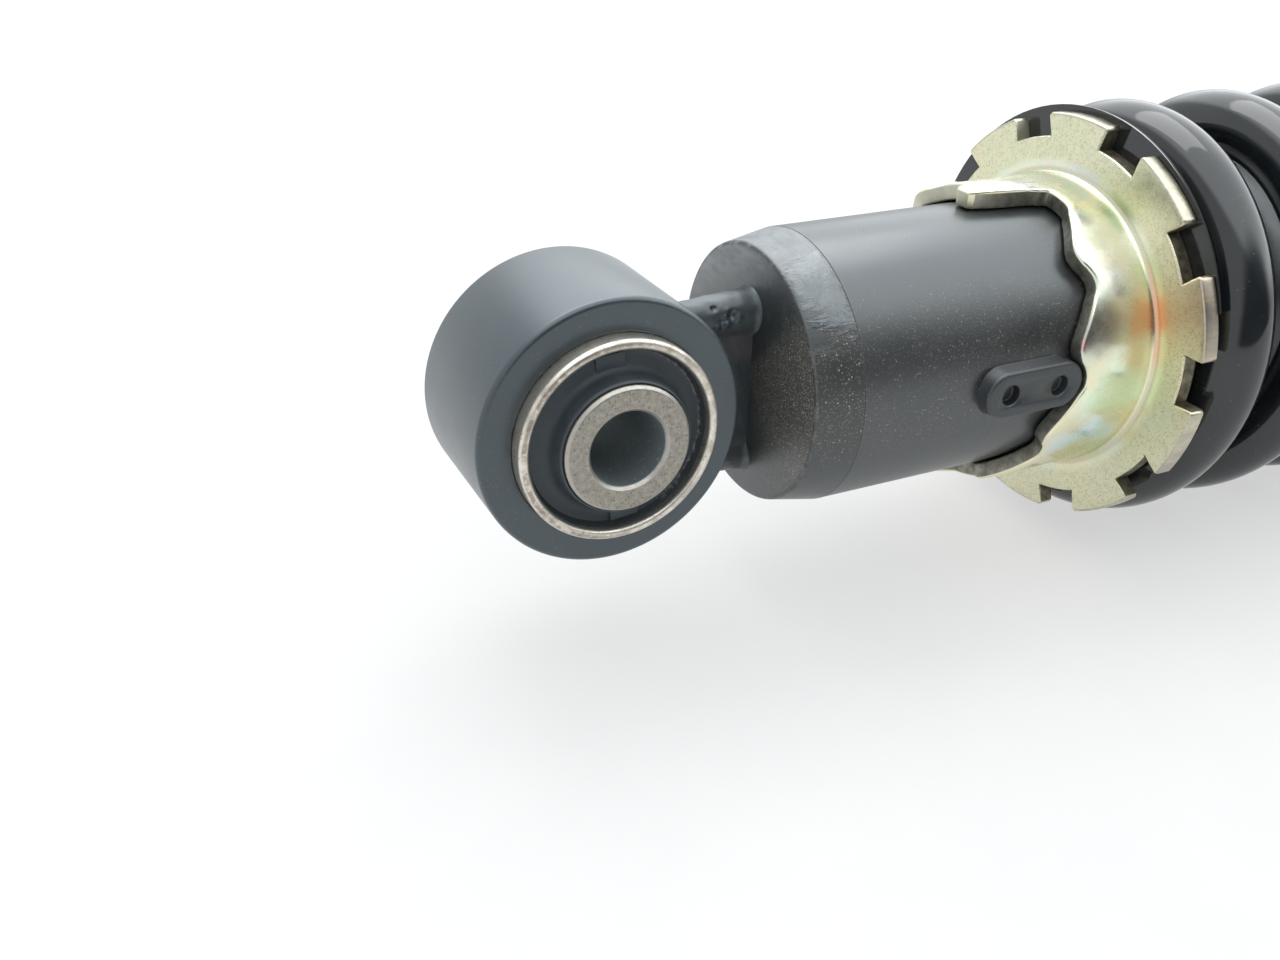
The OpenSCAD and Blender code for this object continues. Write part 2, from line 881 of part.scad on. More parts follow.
module bump_stop() {
    r0 = rod_r + hub_gap;
    r1 = bump_od / 2;
    tip = r1 * 0.62;
    color("#2f2f2d")
        turned_x([
            [r0, bump_x0], [tip - 1.5, bump_x0], [tip, bump_x0 + 1.5],
            [tip + 1, bump_x0 + bump_len * 0.2], [tip - 1, bump_x0 + bump_len * 0.32],
            [r1 - 1, bump_x0 + bump_len * 0.52], [r1 - 1, bump_x0 + bump_len * 0.6],
            [r1 - 3.5, bump_x0 + bump_len * 0.72], [r1, bump_x0 + bump_len * 0.86],
            [r1, washer_x0 - 1], [r1 - 1, washer_x0], [r0, washer_x0]
        ]);
}

module bump_stop_washer() {
    color("#85898c")
        ring_x(washer_x0, washer_x0 + bump_washer_thick, bump_washer_r, rod_thread_d / 2 + hub_gap);
}

module rod_lock_nut() {
    color("#6f7376")
        hex_nut_x(shoulder_x - lock_nut_thick, lock_nut_thick, lock_nut_flats, rod_thread_d / 2 + hub_gap);
}

// A turned cup: a thick face, a skirt outside the last coil and a collar inside it
module upper_spring_seat() {
    nut_hole = lock_nut_flats / cos(30) / 2 + 0.8;
    cup_hole = bump_washer_r + face_gap;
    cup_x = washer_x0 + bump_washer_thick + face_gap;
    collar_out = coil_r - wire_r - 0.5;
    skirt_in = coil_r + wire_r + 1.2;
    skirt_out = skirt_in + skirt_wall;
    x0 = spring_x1 - skirt_depth;
    edge = 1.5;
    color("#1f2124")
        turned_x([
            [nut_hole, shoulder_x], [nut_hole, cup_x], [cup_hole, cup_x],
            [cup_hole, spring_x1 - 6], [collar_out - 1, spring_x1 - 6],
            [collar_out, spring_x1 - 5], [collar_out, spring_x1], [skirt_in, spring_x1],
            [skirt_in, x0], [skirt_out, x0], [skirt_out, shoulder_x - edge],
            [skirt_out - edge, shoulder_x]
        ]);
}

module upper_eye() {
    socket_r = rod_thread_d / 2 + hub_gap;
    shank_r = shank_d / 2;
    back_x = shoulder_x + shoulder_thick;
    fillet = 2;
    color("#2b2f33")
        difference() {
            union() {
                eye_ring(upper_x);
                turned_x(concat(
                    [[0, shoulder_x], [shoulder_d / 2 - 0.6, shoulder_x],
                     [shoulder_d / 2, shoulder_x + 0.6], [shoulder_d / 2, back_x - 0.6],
                     [shoulder_d / 2 - 0.6, back_x]],
                    arc([shank_r + fillet, back_x + fillet], fillet, 270, 180, 5),
                    [[shank_r, upper_x - outer_sleeve_r], [0, upper_x - outer_sleeve_r]]
                ));
            }
            eye_bore(upper_x);
            disc_x(shoulder_x - overshoot, shoulder_x + socket_len, socket_r);
        }
}

module upper_outer_sleeve() {
    color("#7a7068") outer_sleeve(upper_x);
}

module upper_bush_rubber() {
    color("#1d2226") bush_rubber(upper_x);
}

module upper_inner_sleeve() {
    color("#8d8781") inner_sleeve(upper_x);
}

lower_eye();
lower_outer_sleeve();
lower_bush_rubber();
lower_inner_sleeve();
end_cap();
damper_tube();
preload_stop_lugs();
preload_cam();
coil_spring();
floating_piston();
floating_piston_o_ring();
rod_guide();
guide_bush();
rod_guide_o_ring();
oil_seal();
seal_backing_ring();
snap_ring();
dust_cap();
piston_rod();
top_out_bumper();
stop_plate();
compression_shims();
piston();
piston_band();
rebound_shims();
shim_support_washer();
piston_nut();
bump_stop();
bump_stop_washer();
rod_lock_nut();
upper_spring_seat();
upper_eye();
upper_outer_sleeve();
upper_bush_rubber();
upper_inner_sleeve();
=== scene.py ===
import json
import math
import bpy
import bmesh
import numpy as np
from mathutils import Matrix, Vector


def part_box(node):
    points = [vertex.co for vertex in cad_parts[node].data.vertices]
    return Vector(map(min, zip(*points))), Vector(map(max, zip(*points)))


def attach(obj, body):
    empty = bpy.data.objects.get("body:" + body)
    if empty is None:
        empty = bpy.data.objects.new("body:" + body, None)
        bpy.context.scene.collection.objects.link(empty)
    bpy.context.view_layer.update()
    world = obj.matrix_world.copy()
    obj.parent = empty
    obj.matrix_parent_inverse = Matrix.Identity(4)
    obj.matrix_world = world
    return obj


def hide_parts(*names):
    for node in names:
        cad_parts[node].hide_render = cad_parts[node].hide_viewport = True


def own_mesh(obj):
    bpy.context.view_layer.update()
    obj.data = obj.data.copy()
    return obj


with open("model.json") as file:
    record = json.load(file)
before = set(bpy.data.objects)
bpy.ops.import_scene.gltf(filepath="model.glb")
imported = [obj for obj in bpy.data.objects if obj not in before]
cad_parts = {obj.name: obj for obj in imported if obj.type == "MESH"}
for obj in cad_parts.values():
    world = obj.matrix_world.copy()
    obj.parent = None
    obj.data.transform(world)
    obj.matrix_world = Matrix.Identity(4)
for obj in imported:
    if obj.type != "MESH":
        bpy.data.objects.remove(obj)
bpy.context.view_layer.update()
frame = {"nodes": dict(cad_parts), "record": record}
nodes = frame["nodes"]
scene = bpy.context.scene
MM = 0.001
TAU = 2 * math.pi


# Camera, at the photograph's viewing angle

def add_camera():
    data = bpy.data.cameras.new("camera")
    data.sensor_width = 36.0
    data.lens = 1275.68 / 1280 * 36.0
    data.clip_start = 0.005
    data.clip_end = 20.0
    right = Vector((0.90074445, -0.43385767, 0.02066288))
    down = Vector((-0.19113665, -0.43864461, -0.8780989))
    ahead = Vector((0.39003361, 0.78699328, -0.4780328))
    place = Vector((-60.74535277, -140.88831904, 71.84676507)) * MM
    columns = [right.to_4d(), (-down).to_4d(), (-ahead).to_4d(), place.to_4d()]
    for c in columns[:3]:
        c.w = 0.0
    camera = bpy.data.objects.new("camera", data)
    camera.matrix_world = Matrix(columns).transposed()
    scene.collection.objects.link(camera)
    scene.camera = camera


add_camera()


# Mesh helpers. Sizes are in millimetres until a mesh is made.

def new_piece(name, verts, faces, smooth_angle=40.0):
    mesh = bpy.data.meshes.new(name)
    mesh.from_pydata([tuple(v) for v in np.asarray(verts, float) * MM], [], faces)
    bm = bmesh.new()
    bm.from_mesh(mesh)
    bmesh.ops.remove_doubles(bm, verts=bm.verts, dist=1e-7)
    bmesh.ops.dissolve_degenerate(bm, edges=bm.edges, dist=1e-8)
    bmesh.ops.recalc_face_normals(bm, faces=bm.faces)
    limit = math.radians(smooth_angle)
    for e in bm.edges:
        e.smooth = not (len(e.link_faces) == 2 and e.calc_face_angle(0.0) > limit)
    for f in bm.faces:
        f.smooth = True
    bm.to_mesh(mesh)
    bm.free()
    piece = bpy.data.objects.new(name, mesh)
    scene.collection.objects.link(piece)
    return piece


def rounded(corners, steps=6):
    """A closed outline from (r, s, radius) corners, each corner turned into an arc."""
    out = []
    count = len(corners)
    for i in range(count):
        r, s, radius = corners[i] if len(corners[i]) == 3 else (*corners[i], 0.0)
        here = Vector((r, s))
        back = Vector(corners[i - 1][:2]) - here
        ahead = Vector(corners[(i + 1) % count][:2]) - here
        if radius <= 0 or back.length < 1e-9 or ahead.length < 1e-9:
            out.append((r, s))
            continue
        half = back.angle(ahead) / 2
        if half > math.pi / 2 - 0.02:
            out.append((r, s))
            continue
        reach = min(radius / math.tan(half), back.length * 0.499, ahead.length * 0.499)
        arc_r = reach * math.tan(half)
        b, a = back.normalized(), ahead.normalized()
        centre = here + (a + b).normalized() * (arc_r / math.sin(half))
        p0, p1 = here + b * reach - centre, here + a * reach - centre
        turn = math.atan2(p0.x * p1.y - p0.y * p1.x, p0.dot(p1))
        for k in range(steps + 1):
            w = turn * k / steps
            c, sn = math.cos(w), math.sin(w)
            out.append((centre.x + c * p0.x - sn * p0.y, centre.y + sn * p0.x + c * p0.y))
    return out


def lathe(name, outline, axis="x", at=(0, 0, 0), segments=256):
    """Turns a closed outline of (radius, place along the axis) about the axis."""
    n = len(outline)
    verts = []
    for j in range(segments):
        a = TAU * j / segments
        for r, s in outline:
            if axis == "x":
                verts.append((at[0] + s, at[1] + r * math.cos(a), at[2] + r * math.sin(a)))
            else:
                verts.append((at[0] + r * math.cos(a), at[1] + s, at[2] + r * math.sin(a)))
    faces = []
    for j in range(segments):
        for i in range(n):
            k = (i + 1) % n
            faces.append((j * n + i, j * n + k, (j + 1) % segments * n + k, (j + 1) % segments * n + i))
    return new_piece(name, verts, faces)


def box_piece(name, low, high, bevel=0.3, steps=3):
    bm = bmesh.new()
    bmesh.ops.create_cube(bm, size=1.0)
    low, high = Vector(low) * MM, Vector(high) * MM
    for v in bm.verts:
        v.co = Vector([(low[i] + high[i]) / 2 + v.co[i] * (high[i] - low[i]) for i in range(3)])
    bmesh.ops.bevel(bm, geom=bm.edges[:], offset=bevel * MM, segments=steps, affect="EDGES", profile=0.5)
    for f in bm.faces:
        f.smooth = True
    mesh = bpy.data.meshes.new(name)
    bm.to_mesh(mesh)
    bm.free()
    piece = bpy.data.objects.new(name, mesh)
    scene.collection.objects.link(piece)
    return piece


def finish_piece(piece, body, slot, replaced=(), material=None):
    """Gives a piece its finish, its slot, the nodes it replaces and the body it rides on."""
    piece.data.materials.clear()
    piece.data.materials.append(material or finishes[slot])
    if replaced:
        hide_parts(*replaced)
    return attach(piece, body)


# Materials, all procedural and in object space. Their lengths are in metres and their angles in degrees.

class Nodes:
    """A node tree, with short calls for the nodes it uses."""

    def __init__(self, tree):
        self.tree = tree
        tree.nodes.clear()

    def add(self, kind, **settings):
        node = self.tree.nodes.new(kind)
        for key, value in settings.items():
            setattr(node, key, value)
        return node

    def link(self, source, socket):
        self.tree.links.new(source, socket)

    def put(self, value, socket):
        if hasattr(value, "is_output"):
            self.link(value, socket)
        elif isinstance(value, (tuple, list)):
            socket.default_value = (*value, 1.0) if len(value) == 3 and socket.type == "RGBA" else value
        else:
            socket.default_value = value

    def math(self, operation, *values):
        node = self.add("ShaderNodeMath", operation=operation)
        for value, socket in zip(values, node.inputs):
            self.put(value, socket)
        return node.outputs[0]

    def plus(self, a, b):
        return self.math("ADD", a, b)

    def minus(self, a, b):
        return self.math("SUBTRACT", a, b)

    def most(self, a, b):
        return self.math("MAXIMUM", a, b)

    def times(self, first, *others):
        for other in others:
            first = self.math("MULTIPLY", first, other)
        return first

    def length(self, a, b):
        return self.math("SQRT", self.plus(self.times(a, a), self.times(b, b)))

    def band(self, value, low, high, to_low=0.0, to_high=1.0, smooth=True):
        """Goes from to_low to to_high while value goes from low to high."""
        node = self.add("ShaderNodeMapRange", interpolation_type="SMOOTHSTEP" if smooth else "LINEAR")
        self.put(value, node.inputs["Value"])
        numbers = {"From Min": low, "From Max": high, "To Min": to_low, "To Max": to_high}
        for name, number in numbers.items():
            node.inputs[name].default_value = number
        return node.outputs["Result"]

    def zone(self, value, a0, a1, b1, b0):
        """1 between a1 and b1, falling to 0 at a0 and b0."""
        return self.times(self.band(value, a0, a1), self.band(value, b1, b0, 1.0, 0.0))


class Shader(Nodes):
    """A surface material's nodes, with its object coordinates and its shader."""

    SOCKETS = {
        "colour": "Base Color", "rough": "Roughness", "metal": "Metallic", "ior": "IOR", "normal": "Normal",
        "specular": "Specular IOR Level", "specular_tint": "Specular Tint",
        "coat": "Coat Weight", "coat_rough": "Coat Roughness",
    }

    def __init__(self, name):
        self.material = bpy.data.materials.new(name)
        self.material.use_nodes = True
        super().__init__(self.material.node_tree)
        self.out = self.add("ShaderNodeOutputMaterial")
        self.bsdf = self.add("ShaderNodeBsdfPrincipled")
        self.link(self.bsdf.outputs[0], self.out.inputs["Surface"])
        self.where = self.add("ShaderNodeTexCoord").outputs["Object"]
        split = self.add("ShaderNodeSeparateXYZ")
        self.link(self.where, split.inputs[0])
        self.x, self.y, self.z = split.outputs

    def noise(self, scale, detail=2.0, rough=0.5, stretch=None, distortion=0.0):
        node = self.add("ShaderNodeTexNoise")
        where = self.where
        if stretch:
            mapping = self.add("ShaderNodeMapping")
            self.link(where, mapping.inputs["Vector"])
            mapping.inputs["Scale"].default_value = stretch
            where = mapping.outputs[0]
        self.link(where, node.inputs["Vector"])
        numbers = {"Scale": scale, "Detail": detail, "Roughness": rough, "Distortion": distortion}
        for name, number in numbers.items():
            node.inputs[name].default_value = number
        return node.outputs["Fac"]

    def sway(self, reach, scale, detail=3, rough=0.6):
        """Noise spread over minus to plus reach."""
        return self.band(self.noise(scale, detail, rough), 0.3, 0.7, -reach, reach, False)

    def mix(self, amount, a, b):
        node = self.add("ShaderNodeMix", data_type="RGBA")
        for value, socket in ((amount, "Factor"), (a, "A"), (b, "B")):
            self.put(value, node.inputs[socket])
        return node.outputs["Result"]

    def ramp(self, value, *stops):
        node = self.add("ShaderNodeValToRGB")
        elements = node.color_ramp.elements
        while len(elements) < len(stops):
            elements.new(0.5)
        for element, (place, colour) in zip(elements, stops):
            element.position = place
            element.color = (*colour, 1.0)
        self.put(value, node.inputs[0])
        return node.outputs["Color"]

    def bump(self, height, strength, distance):
        node = self.add("ShaderNodeBump")
        node.inputs["Strength"].default_value = strength
        node.inputs["Distance"].default_value = distance
        self.put(height, node.inputs["Height"])
        return node.outputs[0]

    def specks(self, scale, size, amount):
        """Small round specks: 1 on a speck, 0 off it. amount is the share of cells that have one."""
        cell = self.add("ShaderNodeTexVoronoi")
        self.link(self.where, cell.inputs["Vector"])
        cell.inputs["Scale"].default_value = scale
        split = self.add("ShaderNodeSeparateColor")
        self.link(cell.outputs["Color"], split.inputs[0])
        near = self.band(cell.outputs["Distance"], size * 0.6, size, 1.0, 0.0)
        return self.times(near, self.math("GREATER_THAN", split.outputs[0], 1.0 - amount))

    def spot(self, u, v, at_u, at_v, reach_u, reach_v):
        """A soft oval: 1 at its middle and 0 outside its reach."""
        du = self.math("DIVIDE", self.minus(u, at_u), reach_u)
        dv = self.math("DIVIDE", self.minus(v, at_v), reach_v)
        return self.band(self.length(du, dv), 0.35, 1.0, 1.0, 0.0)

    def axis_distance(self):
        return self.length(self.y, self.z)

    def axis_angle(self):
        """Degrees round the damper's axis, from -40 to 320: 90 is the top and 180 the side seen in front."""
        turn = self.times(self.math("ARCTAN2", self.z, self.y), 180 / math.pi)
        return self.minus(self.math("FLOORED_MODULO", self.plus(turn, 40.0), 360.0), 40.0)

    def set(self, **values):
        for key, value in values.items():
            self.put(value, self.bsdf.inputs[self.SOCKETS[key]])
        return self.material


def paint(name, colour, rough, layers=(), dust=0.0, specular=1.0, ior=1.58, tint=(0.93, 0.98, 1.0), coat=0.0):
    """Satin black paint with slight colour drift, fine grain and dust, and the layers given."""
    s = Shader(name)
    drift = s.noise(60, 4, 0.6)
    base = s.mix(s.band(drift, 0.35, 0.7), colour, tuple(c * 1.35 + 0.003 for c in colour))
    rough_value = s.band(drift, 0.3, 0.7, rough - 0.04, rough + 0.06)
    height = s.noise(2600, 3, 0.6)
    if dust:
        base = s.mix(s.times(s.specks(2600, 0.36, 0.10), dust), base, (0.19, 0.175, 0.15))
    for layer in layers:
        base, rough_value, height = layer(s, base, rough_value, height)
    return s.set(colour=base, rough=rough_value, normal=s.bump(height, 0.18, 0.00004), specular=specular,
                 specular_tint=tint, ior=ior, coat=coat, coat_rough=0.32)


def front_dust(dust, brown):
    """Brown dust on the side that faces the front, and over more of the cap's disc."""
    def layer(s, base, rough, height):
        angle = s.plus(s.axis_angle(), s.sway(9.0, 140, 4))
        disc = s.band(s.x, 0.0252, 0.0256, 1.0, 0.0)
        front = s.most(s.zone(angle, 122, 150, 186, 205), s.times(disc, s.zone(angle, 126, 150, 205, 250)))
        base = s.mix(s.times(front, brown), base, s.mix(disc, (0.023, 0.021, 0.018), (0.076, 0.072, 0.064)))
        share = s.times(s.plus(s.times(front, 0.9), 0.10), dust)
        fine = s.times(s.specks(3700, 0.50, 0.42), share)
        base = s.mix(s.times(fine, s.plus(0.55, s.times(disc, 0.4))), base, (0.18, 0.16, 0.135))
        base = s.mix(s.times(s.specks(2500, 0.36, 0.12), share), base, (0.34, 0.31, 0.26))
        return base, s.plus(rough, s.times(front, 0.05)), s.plus(height, s.times(fine, 2.2))
    return layer


def neck_shade(s, base, rough, height):
    """The neck under its upper edge: dust, a reddish patch and painted shade that darkens the hollow there; and
    its paler lower edge.
    """
    below = s.band(s.plus(s.z, s.sway(0.0007, 500)), 0.0062, 0.0080, 1.0, 0.0)
    base = s.mix(s.times(below, s.specks(3300, 0.42, 0.22)), base, (0.22, 0.20, 0.17))
    red = s.times(below, s.band(s.z, 0.001, 0.004), s.band(s.x, 0.0185, 0.0205))
    base = s.mix(s.times(red, 0.8), base, (0.075, 0.058, 0.060))
    # Painted shade: the rest of the hollow under the upper edge is darkened.
    base = s.mix(s.times(s.minus(below, red), 0.75), base, (0.014, 0.018, 0.021))
    low = s.band(s.z, -0.0115, -0.0085, 1.0, 0.0)
    return s.mix(s.times(low, 0.8), base, (0.055, 0.056, 0.052)), rough, height


def cap_wear_and_sheen(s, base, rough, height):
    """Flaking paint with torn cracks on the cap's band, brush marks, a painted sheen that lightens the upper side,
    and a nicked corner.
    """
    angle = s.axis_angle()
    ragged = s.band(s.noise(420, 4, 0.65, stretch=(0.45, 1.0, 1.0)), 0.2, 0.8, -13.0, 13.0, False)
    side = s.zone(s.plus(s.x, s.sway(0.0005, 700)), 0.0254, 0.0262, 0.0312, 0.0320)
    area = s.times(s.zone(s.plus(angle, ragged), 104, 112, 137, 146), side)
    flakes = s.noise(620, 5, 0.7, stretch=(1.0, 0.7, 0.7), distortion=1.2)
    dark, grey, pale = (0.055, 0.062, 0.066), (0.105, 0.116, 0.122), (0.15, 0.165, 0.17)
    tone = s.ramp(flakes, (0.33, dark), (0.42, grey), (0.62, pale))
    base = s.mix(area, base, tone)
    torn = s.band(s.noise(620, 3, 0.65, stretch=(0.28, 1.0, 1.0), distortion=0.6), 0.47, 0.51)
    torn = s.times(torn, s.zone(angle, 126, 132, 148, 153), s.zone(s.x, 0.0252, 0.0255, 0.0268, 0.0295))
    base = s.mix(s.times(torn, 0.95), base, (0.012, 0.012, 0.012))
    # Painted sheen: the upper side of the cap is made a lighter grey, in streaks, as if lit from above.
    painted_sheen = s.band(s.plus(s.times(s.y, 0.45), s.times(s.z, 0.9)), 0.009, 0.018)
    sheen_streaks = s.band(s.noise(900, 3, 0.6, stretch=(1.0, 0.35, 1.0)), 0.3, 0.7, 0.45, 0.95)
    base = s.mix(s.times(painted_sheen, sheen_streaks), base, (0.20, 0.212, 0.22))
    corner = s.times(s.band(s.axis_distance(), 0.0175, 0.0179), s.band(s.x, 0.0253, 0.0257, 1.0, 0.0))
    corner = s.times(corner, s.band(s.noise(520, 4, 0.7), 0.40, 0.52))
    base = s.mix(s.times(corner, 0.85), base, (0.014, 0.014, 0.014))
    strokes = s.noise(520, 3, 0.6, stretch=(0.22, 1.0, 1.0))
    raised = s.plus(s.times(area, flakes, 22.0), s.times(strokes, 6.0))
    sunk = s.plus(s.times(torn, 20.0), s.times(corner, 8.0))
    return base, s.minus(rough, s.times(area, 0.12)), s.minus(s.plus(height, raised), sunk)


def plain_metal(name, colour, rough):
    s = Shader(name)
    drift = s.noise(180, 5, 0.6)
    base = s.mix(s.band(drift, 0.3, 0.72), tuple(c * 0.72 for c in colour), colour)
    return s.set(colour=base, rough=s.band(drift, 0.25, 0.75, rough - 0.06, rough + 0.1), metal=1.0,
                 normal=s.bump(s.noise(1200, 4, 0.65), 0.15, 0.00003))


def bush_shell_material():
    """Turned steel, with a brown pitted line along the middle of its bead."""
    s = Shader("bush_shell")
    drift = s.noise(420, 5, 0.65)
    base = s.ramp(drift, (0.3, (0.44, 0.40, 0.34)), (0.52, (0.72, 0.67, 0.59)), (0.72, (0.93, 0.89, 0.80)))
    base = s.mix(s.times(s.specks(1900, 0.36, 0.3), 0.35), base, (0.16, 0.12, 0.085))
    line = s.zone(s.length(s.x, s.z), 0.01275, 0.0130, 0.0133, 0.0135)
    pitted = s.band(s.noise(650, 4, 0.7), 0.38, 0.55)
    left = s.band(s.x, -0.004, 0.004, 1.0, 0.35)
    base = s.mix(s.times(line, pitted, left, 0.6), base, (0.17, 0.125, 0.09))
    normal = s.bump(s.plus(drift, s.noise(1600, 3, 0.6)), 0.35, 0.00004)
    return s.set(colour=base, rough=s.band(drift, 0.3, 0.7, 0.48, 0.32), metal=0.95, normal=normal)


def turned_sleeve_material(x0):
    """Turned steel, with fine rings round the bolt's axis, painted highlights on the rims and painted shade
    darkening the bore.
    """
    s = Shader("bush_sleeve_%d" % x0)
    r = s.length(s.minus(s.x, x0 * MM), s.z)
    rings = s.math("SINE", s.times(s.plus(r, s.times(s.noise(90), 0.00012)), 26000.0))
    drift = s.noise(1500, 5, 0.75)
    base = s.ramp(drift, (0.3, (0.24, 0.22, 0.19)), (0.5, (0.33, 0.31, 0.27)), (0.72, (0.43, 0.405, 0.36)))
    base = s.mix(s.times(s.specks(2600, 0.4, 0.35), 0.5), base, (0.07, 0.06, 0.05))
    # Painted highlights: the face's inner and outer rims are made lighter all round.
    rim = s.most(s.zone(r, 0.0051, 0.0053, 0.0055, 0.0057), s.zone(r, 0.0080, 0.0082, 0.0084, 0.0086))
    base = s.mix(s.times(rim, 0.65), base, (0.50, 0.48, 0.44))
    # Painted shade: the bore gets a darker, less metallic colour.
    inside = s.band(r, 0.00512, 0.00522, 1.0, 0.0)
    scratch = s.band(s.noise(2400, 3, 0.7, stretch=(1.0, 0.35, 1.0), distortion=2.0), 0.60, 0.68)
    bore = s.mix(s.times(scratch, 0.5), (0.19, 0.22, 0.23), (0.50, 0.52, 0.52))
    normal = s.bump(s.plus(s.times(rings, 0.3), s.noise(2100, 4, 0.65)), 0.32, 0.00004)
    rough = s.plus(s.band(drift, 0.3, 0.7, 0.50, 0.38), s.times(inside, 0.12))
    metal = s.minus(0.9, s.times(inside, 0.55))
    return s.set(colour=s.mix(inside, base, bore), rough=rough, metal=metal, normal=normal)


def rubber_material(name, colour, rough, flash=False):
    """Rubber or plastic. flash adds the pale ragged line that moulding leaves near the shell."""
    s = Shader(name)
    drift = s.noise(150, 4, 0.6)
    base = s.mix(s.band(drift, 0.3, 0.7), colour, tuple(c * 1.45 + 0.002 for c in colour))
    base = s.mix(s.times(s.specks(2600, 0.35, 0.06), 0.5), base, (0.10, 0.09, 0.08))
    if flash:
        ragged = s.plus(s.length(s.x, s.z), s.sway(0.0002, 800, 3, 0.7))
        line = s.times(s.zone(ragged, 0.01155, 0.0117, 0.01185, 0.0120), s.band(s.x, 0.003, 0.008))
        base = s.mix(s.times(line, s.band(s.noise(1400, 4, 0.7), 0.45, 0.6)), base, (0.16, 0.15, 0.135))
    return s.set(colour=base, rough=s.band(drift, 0.3, 0.7, rough - 0.06, rough + 0.06),
                 normal=s.bump(s.noise(1400, 4, 0.6), 0.2, 0.00004), specular=0.5)


# Tints on the cam's neck, partly the plate's own colours and partly painted light: the near-white spots are
# painted highlights, and the dark olive, dark grey and orange spots are painted reflections. x in mm, angle, reach
# along x in mm, reach in degrees, share, colour
CAM_TINTS_AND_REFLECTIONS = (
    (78.6, 119, 3.8, 13, 0.75, (0.42, 0.50, 0.34)),
    (70.0, 92, 7.0, 16, 0.9, (0.98, 0.98, 0.91)),
    (78.0, 140, 3.2, 9, 0.5, (0.62, 0.74, 0.50)),
    (76.6, 158, 4.6, 15, 0.9, (0.84, 0.55, 0.33)),
    (75.0, 131, 6.0, 17, 0.9, (0.94, 0.94, 0.86)),
    (68.4, 161, 6.4, 16, 0.9, (0.50, 0.49, 0.42)),
    (64.9, 164, 2.2, 7, 0.9, (0.86, 0.42, 0.47)),
    (72.0, 84, 6.0, 8, 0.9, (0.97, 0.98, 0.92)),
    (72.5, 188, 8.0, 15, 0.9, (0.80, 0.97, 0.78)),
    (71.0, 208, 8.5, 11, 0.95, (0.76, 0.93, 0.98)),
    (74.5, 222, 7.0, 10, 0.75, (0.66, 0.74, 0.50)),
    (79.5, 100, 2.6, 14, 0.6, (0.62, 0.66, 0.78)),
)


def cam_material():
    """Yellow zinc plate: a metallic base whose tint drifts from straw to green, blue, orange and pink, with
    painted highlights and reflections on the neck and painted shade in the fold.
    """
    s = Shader("cam_zinc")
    r, angle = s.axis_distance(), s.axis_angle()
    drift = s.noise(48, 3, 0.55, distortion=0.6)
    tint = s.ramp(
        s.plus(drift, s.times(s.noise(260, 3, 0.6), 0.12)),
        (0.32, (0.66, 0.74, 0.56)), (0.44, (0.80, 0.78, 0.56)), (0.54, (0.84, 0.79, 0.56)),
        (0.62, (0.72, 0.79, 0.64)), (0.72, (0.84, 0.73, 0.62)), (0.82, (0.68, 0.76, 0.72)))
    wavy_angle = s.plus(angle, s.sway(5.0, 130))
    wavy_x = s.plus(s.times(s.x, 1 / MM), s.sway(1.0, 170))
    # Spots of tint, painted highlight and painted reflection on the neck.
    for at_x, at_angle, reach_x, reach_angle, share, colour in CAM_TINTS_AND_REFLECTIONS:
        oval = s.spot(wavy_x, wavy_angle, at_x, at_angle, reach_x, reach_angle)
        tint = s.mix(s.times(oval, share), tint, colour)
    flange = s.band(r, 0.0236, 0.0250)
    khaki = s.mix(s.zone(angle, 115, 165, 178, 200), (0.74, 0.73, 0.52), (0.71, 0.57, 0.39))
    khaki = s.mix(s.band(s.noise(70, 3, 0.6), 0.4, 0.62), khaki, s.mix(0.4, khaki, (0.66, 0.70, 0.48)))
    tint = s.mix(s.times(flange, 0.85), tint, khaki)
    # Painted shade and reflection in the fold: darker khaki along the crease, reddish towards the front.
    fold = s.zone(r, 0.0224, 0.0226, 0.0230, 0.0235)
    warm = s.mix(s.zone(angle, 135, 150, 172, 182), (0.62, 0.58, 0.42), (0.72, 0.34, 0.22))
    tint = s.mix(s.times(fold, 0.65), tint, warm)
    cloudy = s.band(s.noise(1300, 5, 0.75), 0.44, 0.66)
    tint = s.mix(s.times(cloudy, flange, 0.24), tint, (0.38, 0.32, 0.20))
    tint = s.mix(s.times(s.specks(3600, 0.5, 0.5), s.plus(flange, 0.12), 0.38), tint, (0.24, 0.19, 0.10))
    streak = s.band(s.noise(420, 4, 0.7, stretch=(0.3, 1.0, 1.0)), 0.35, 0.65, 0.45, 0.95)
    tint = s.mix(s.times(s.band(r, 0.0305, 0.0308), streak), tint, (0.43, 0.39, 0.34))
    rough = s.plus(s.band(s.noise(300, 4, 0.6), 0.3, 0.7, 0.20, 0.30), s.times(flange, 0.12))
    height = s.plus(s.noise(700, 4, 0.6), s.times(s.noise(120, 3, 0.5), 1.5))
    return s.set(colour=tint, rough=rough, metal=1.0, normal=s.bump(height, 0.14, 0.00006))


def cut_edge_material(name, dark, light, rough):
    """A sheared or filed edge of the cam, brighter on the far side of the top."""
    s = Shader(name)
    drift = s.noise(800, 5, 0.65)
    tint = s.mix(s.band(drift, 0.3, 0.7), dark, light)
    tint = s.mix(s.band(s.axis_angle(), 92, 97, 0.7, 0.0), tint, (0.62, 0.60, 0.48))
    return s.set(colour=tint, rough=rough, metal=0.85, normal=s.bump(drift, 0.25, 0.00004))


def spring_material():
    s = Shader("spring_paint")
    drift = s.noise(90, 3, 0.55)
    base = s.mix(s.band(drift, 0.35, 0.7), (0.009, 0.011, 0.013), (0.015, 0.018, 0.020))
    base = s.mix(s.times(s.specks(1500, 0.24, 0.05), 0.5), base, (0.12, 0.11, 0.10))
    normal = s.bump(s.noise(330, 3, 0.5), 0.05, 0.00010)
    return s.set(colour=base, rough=s.band(drift, 0.3, 0.7, 0.06, 0.11), normal=normal, specular=0.7)


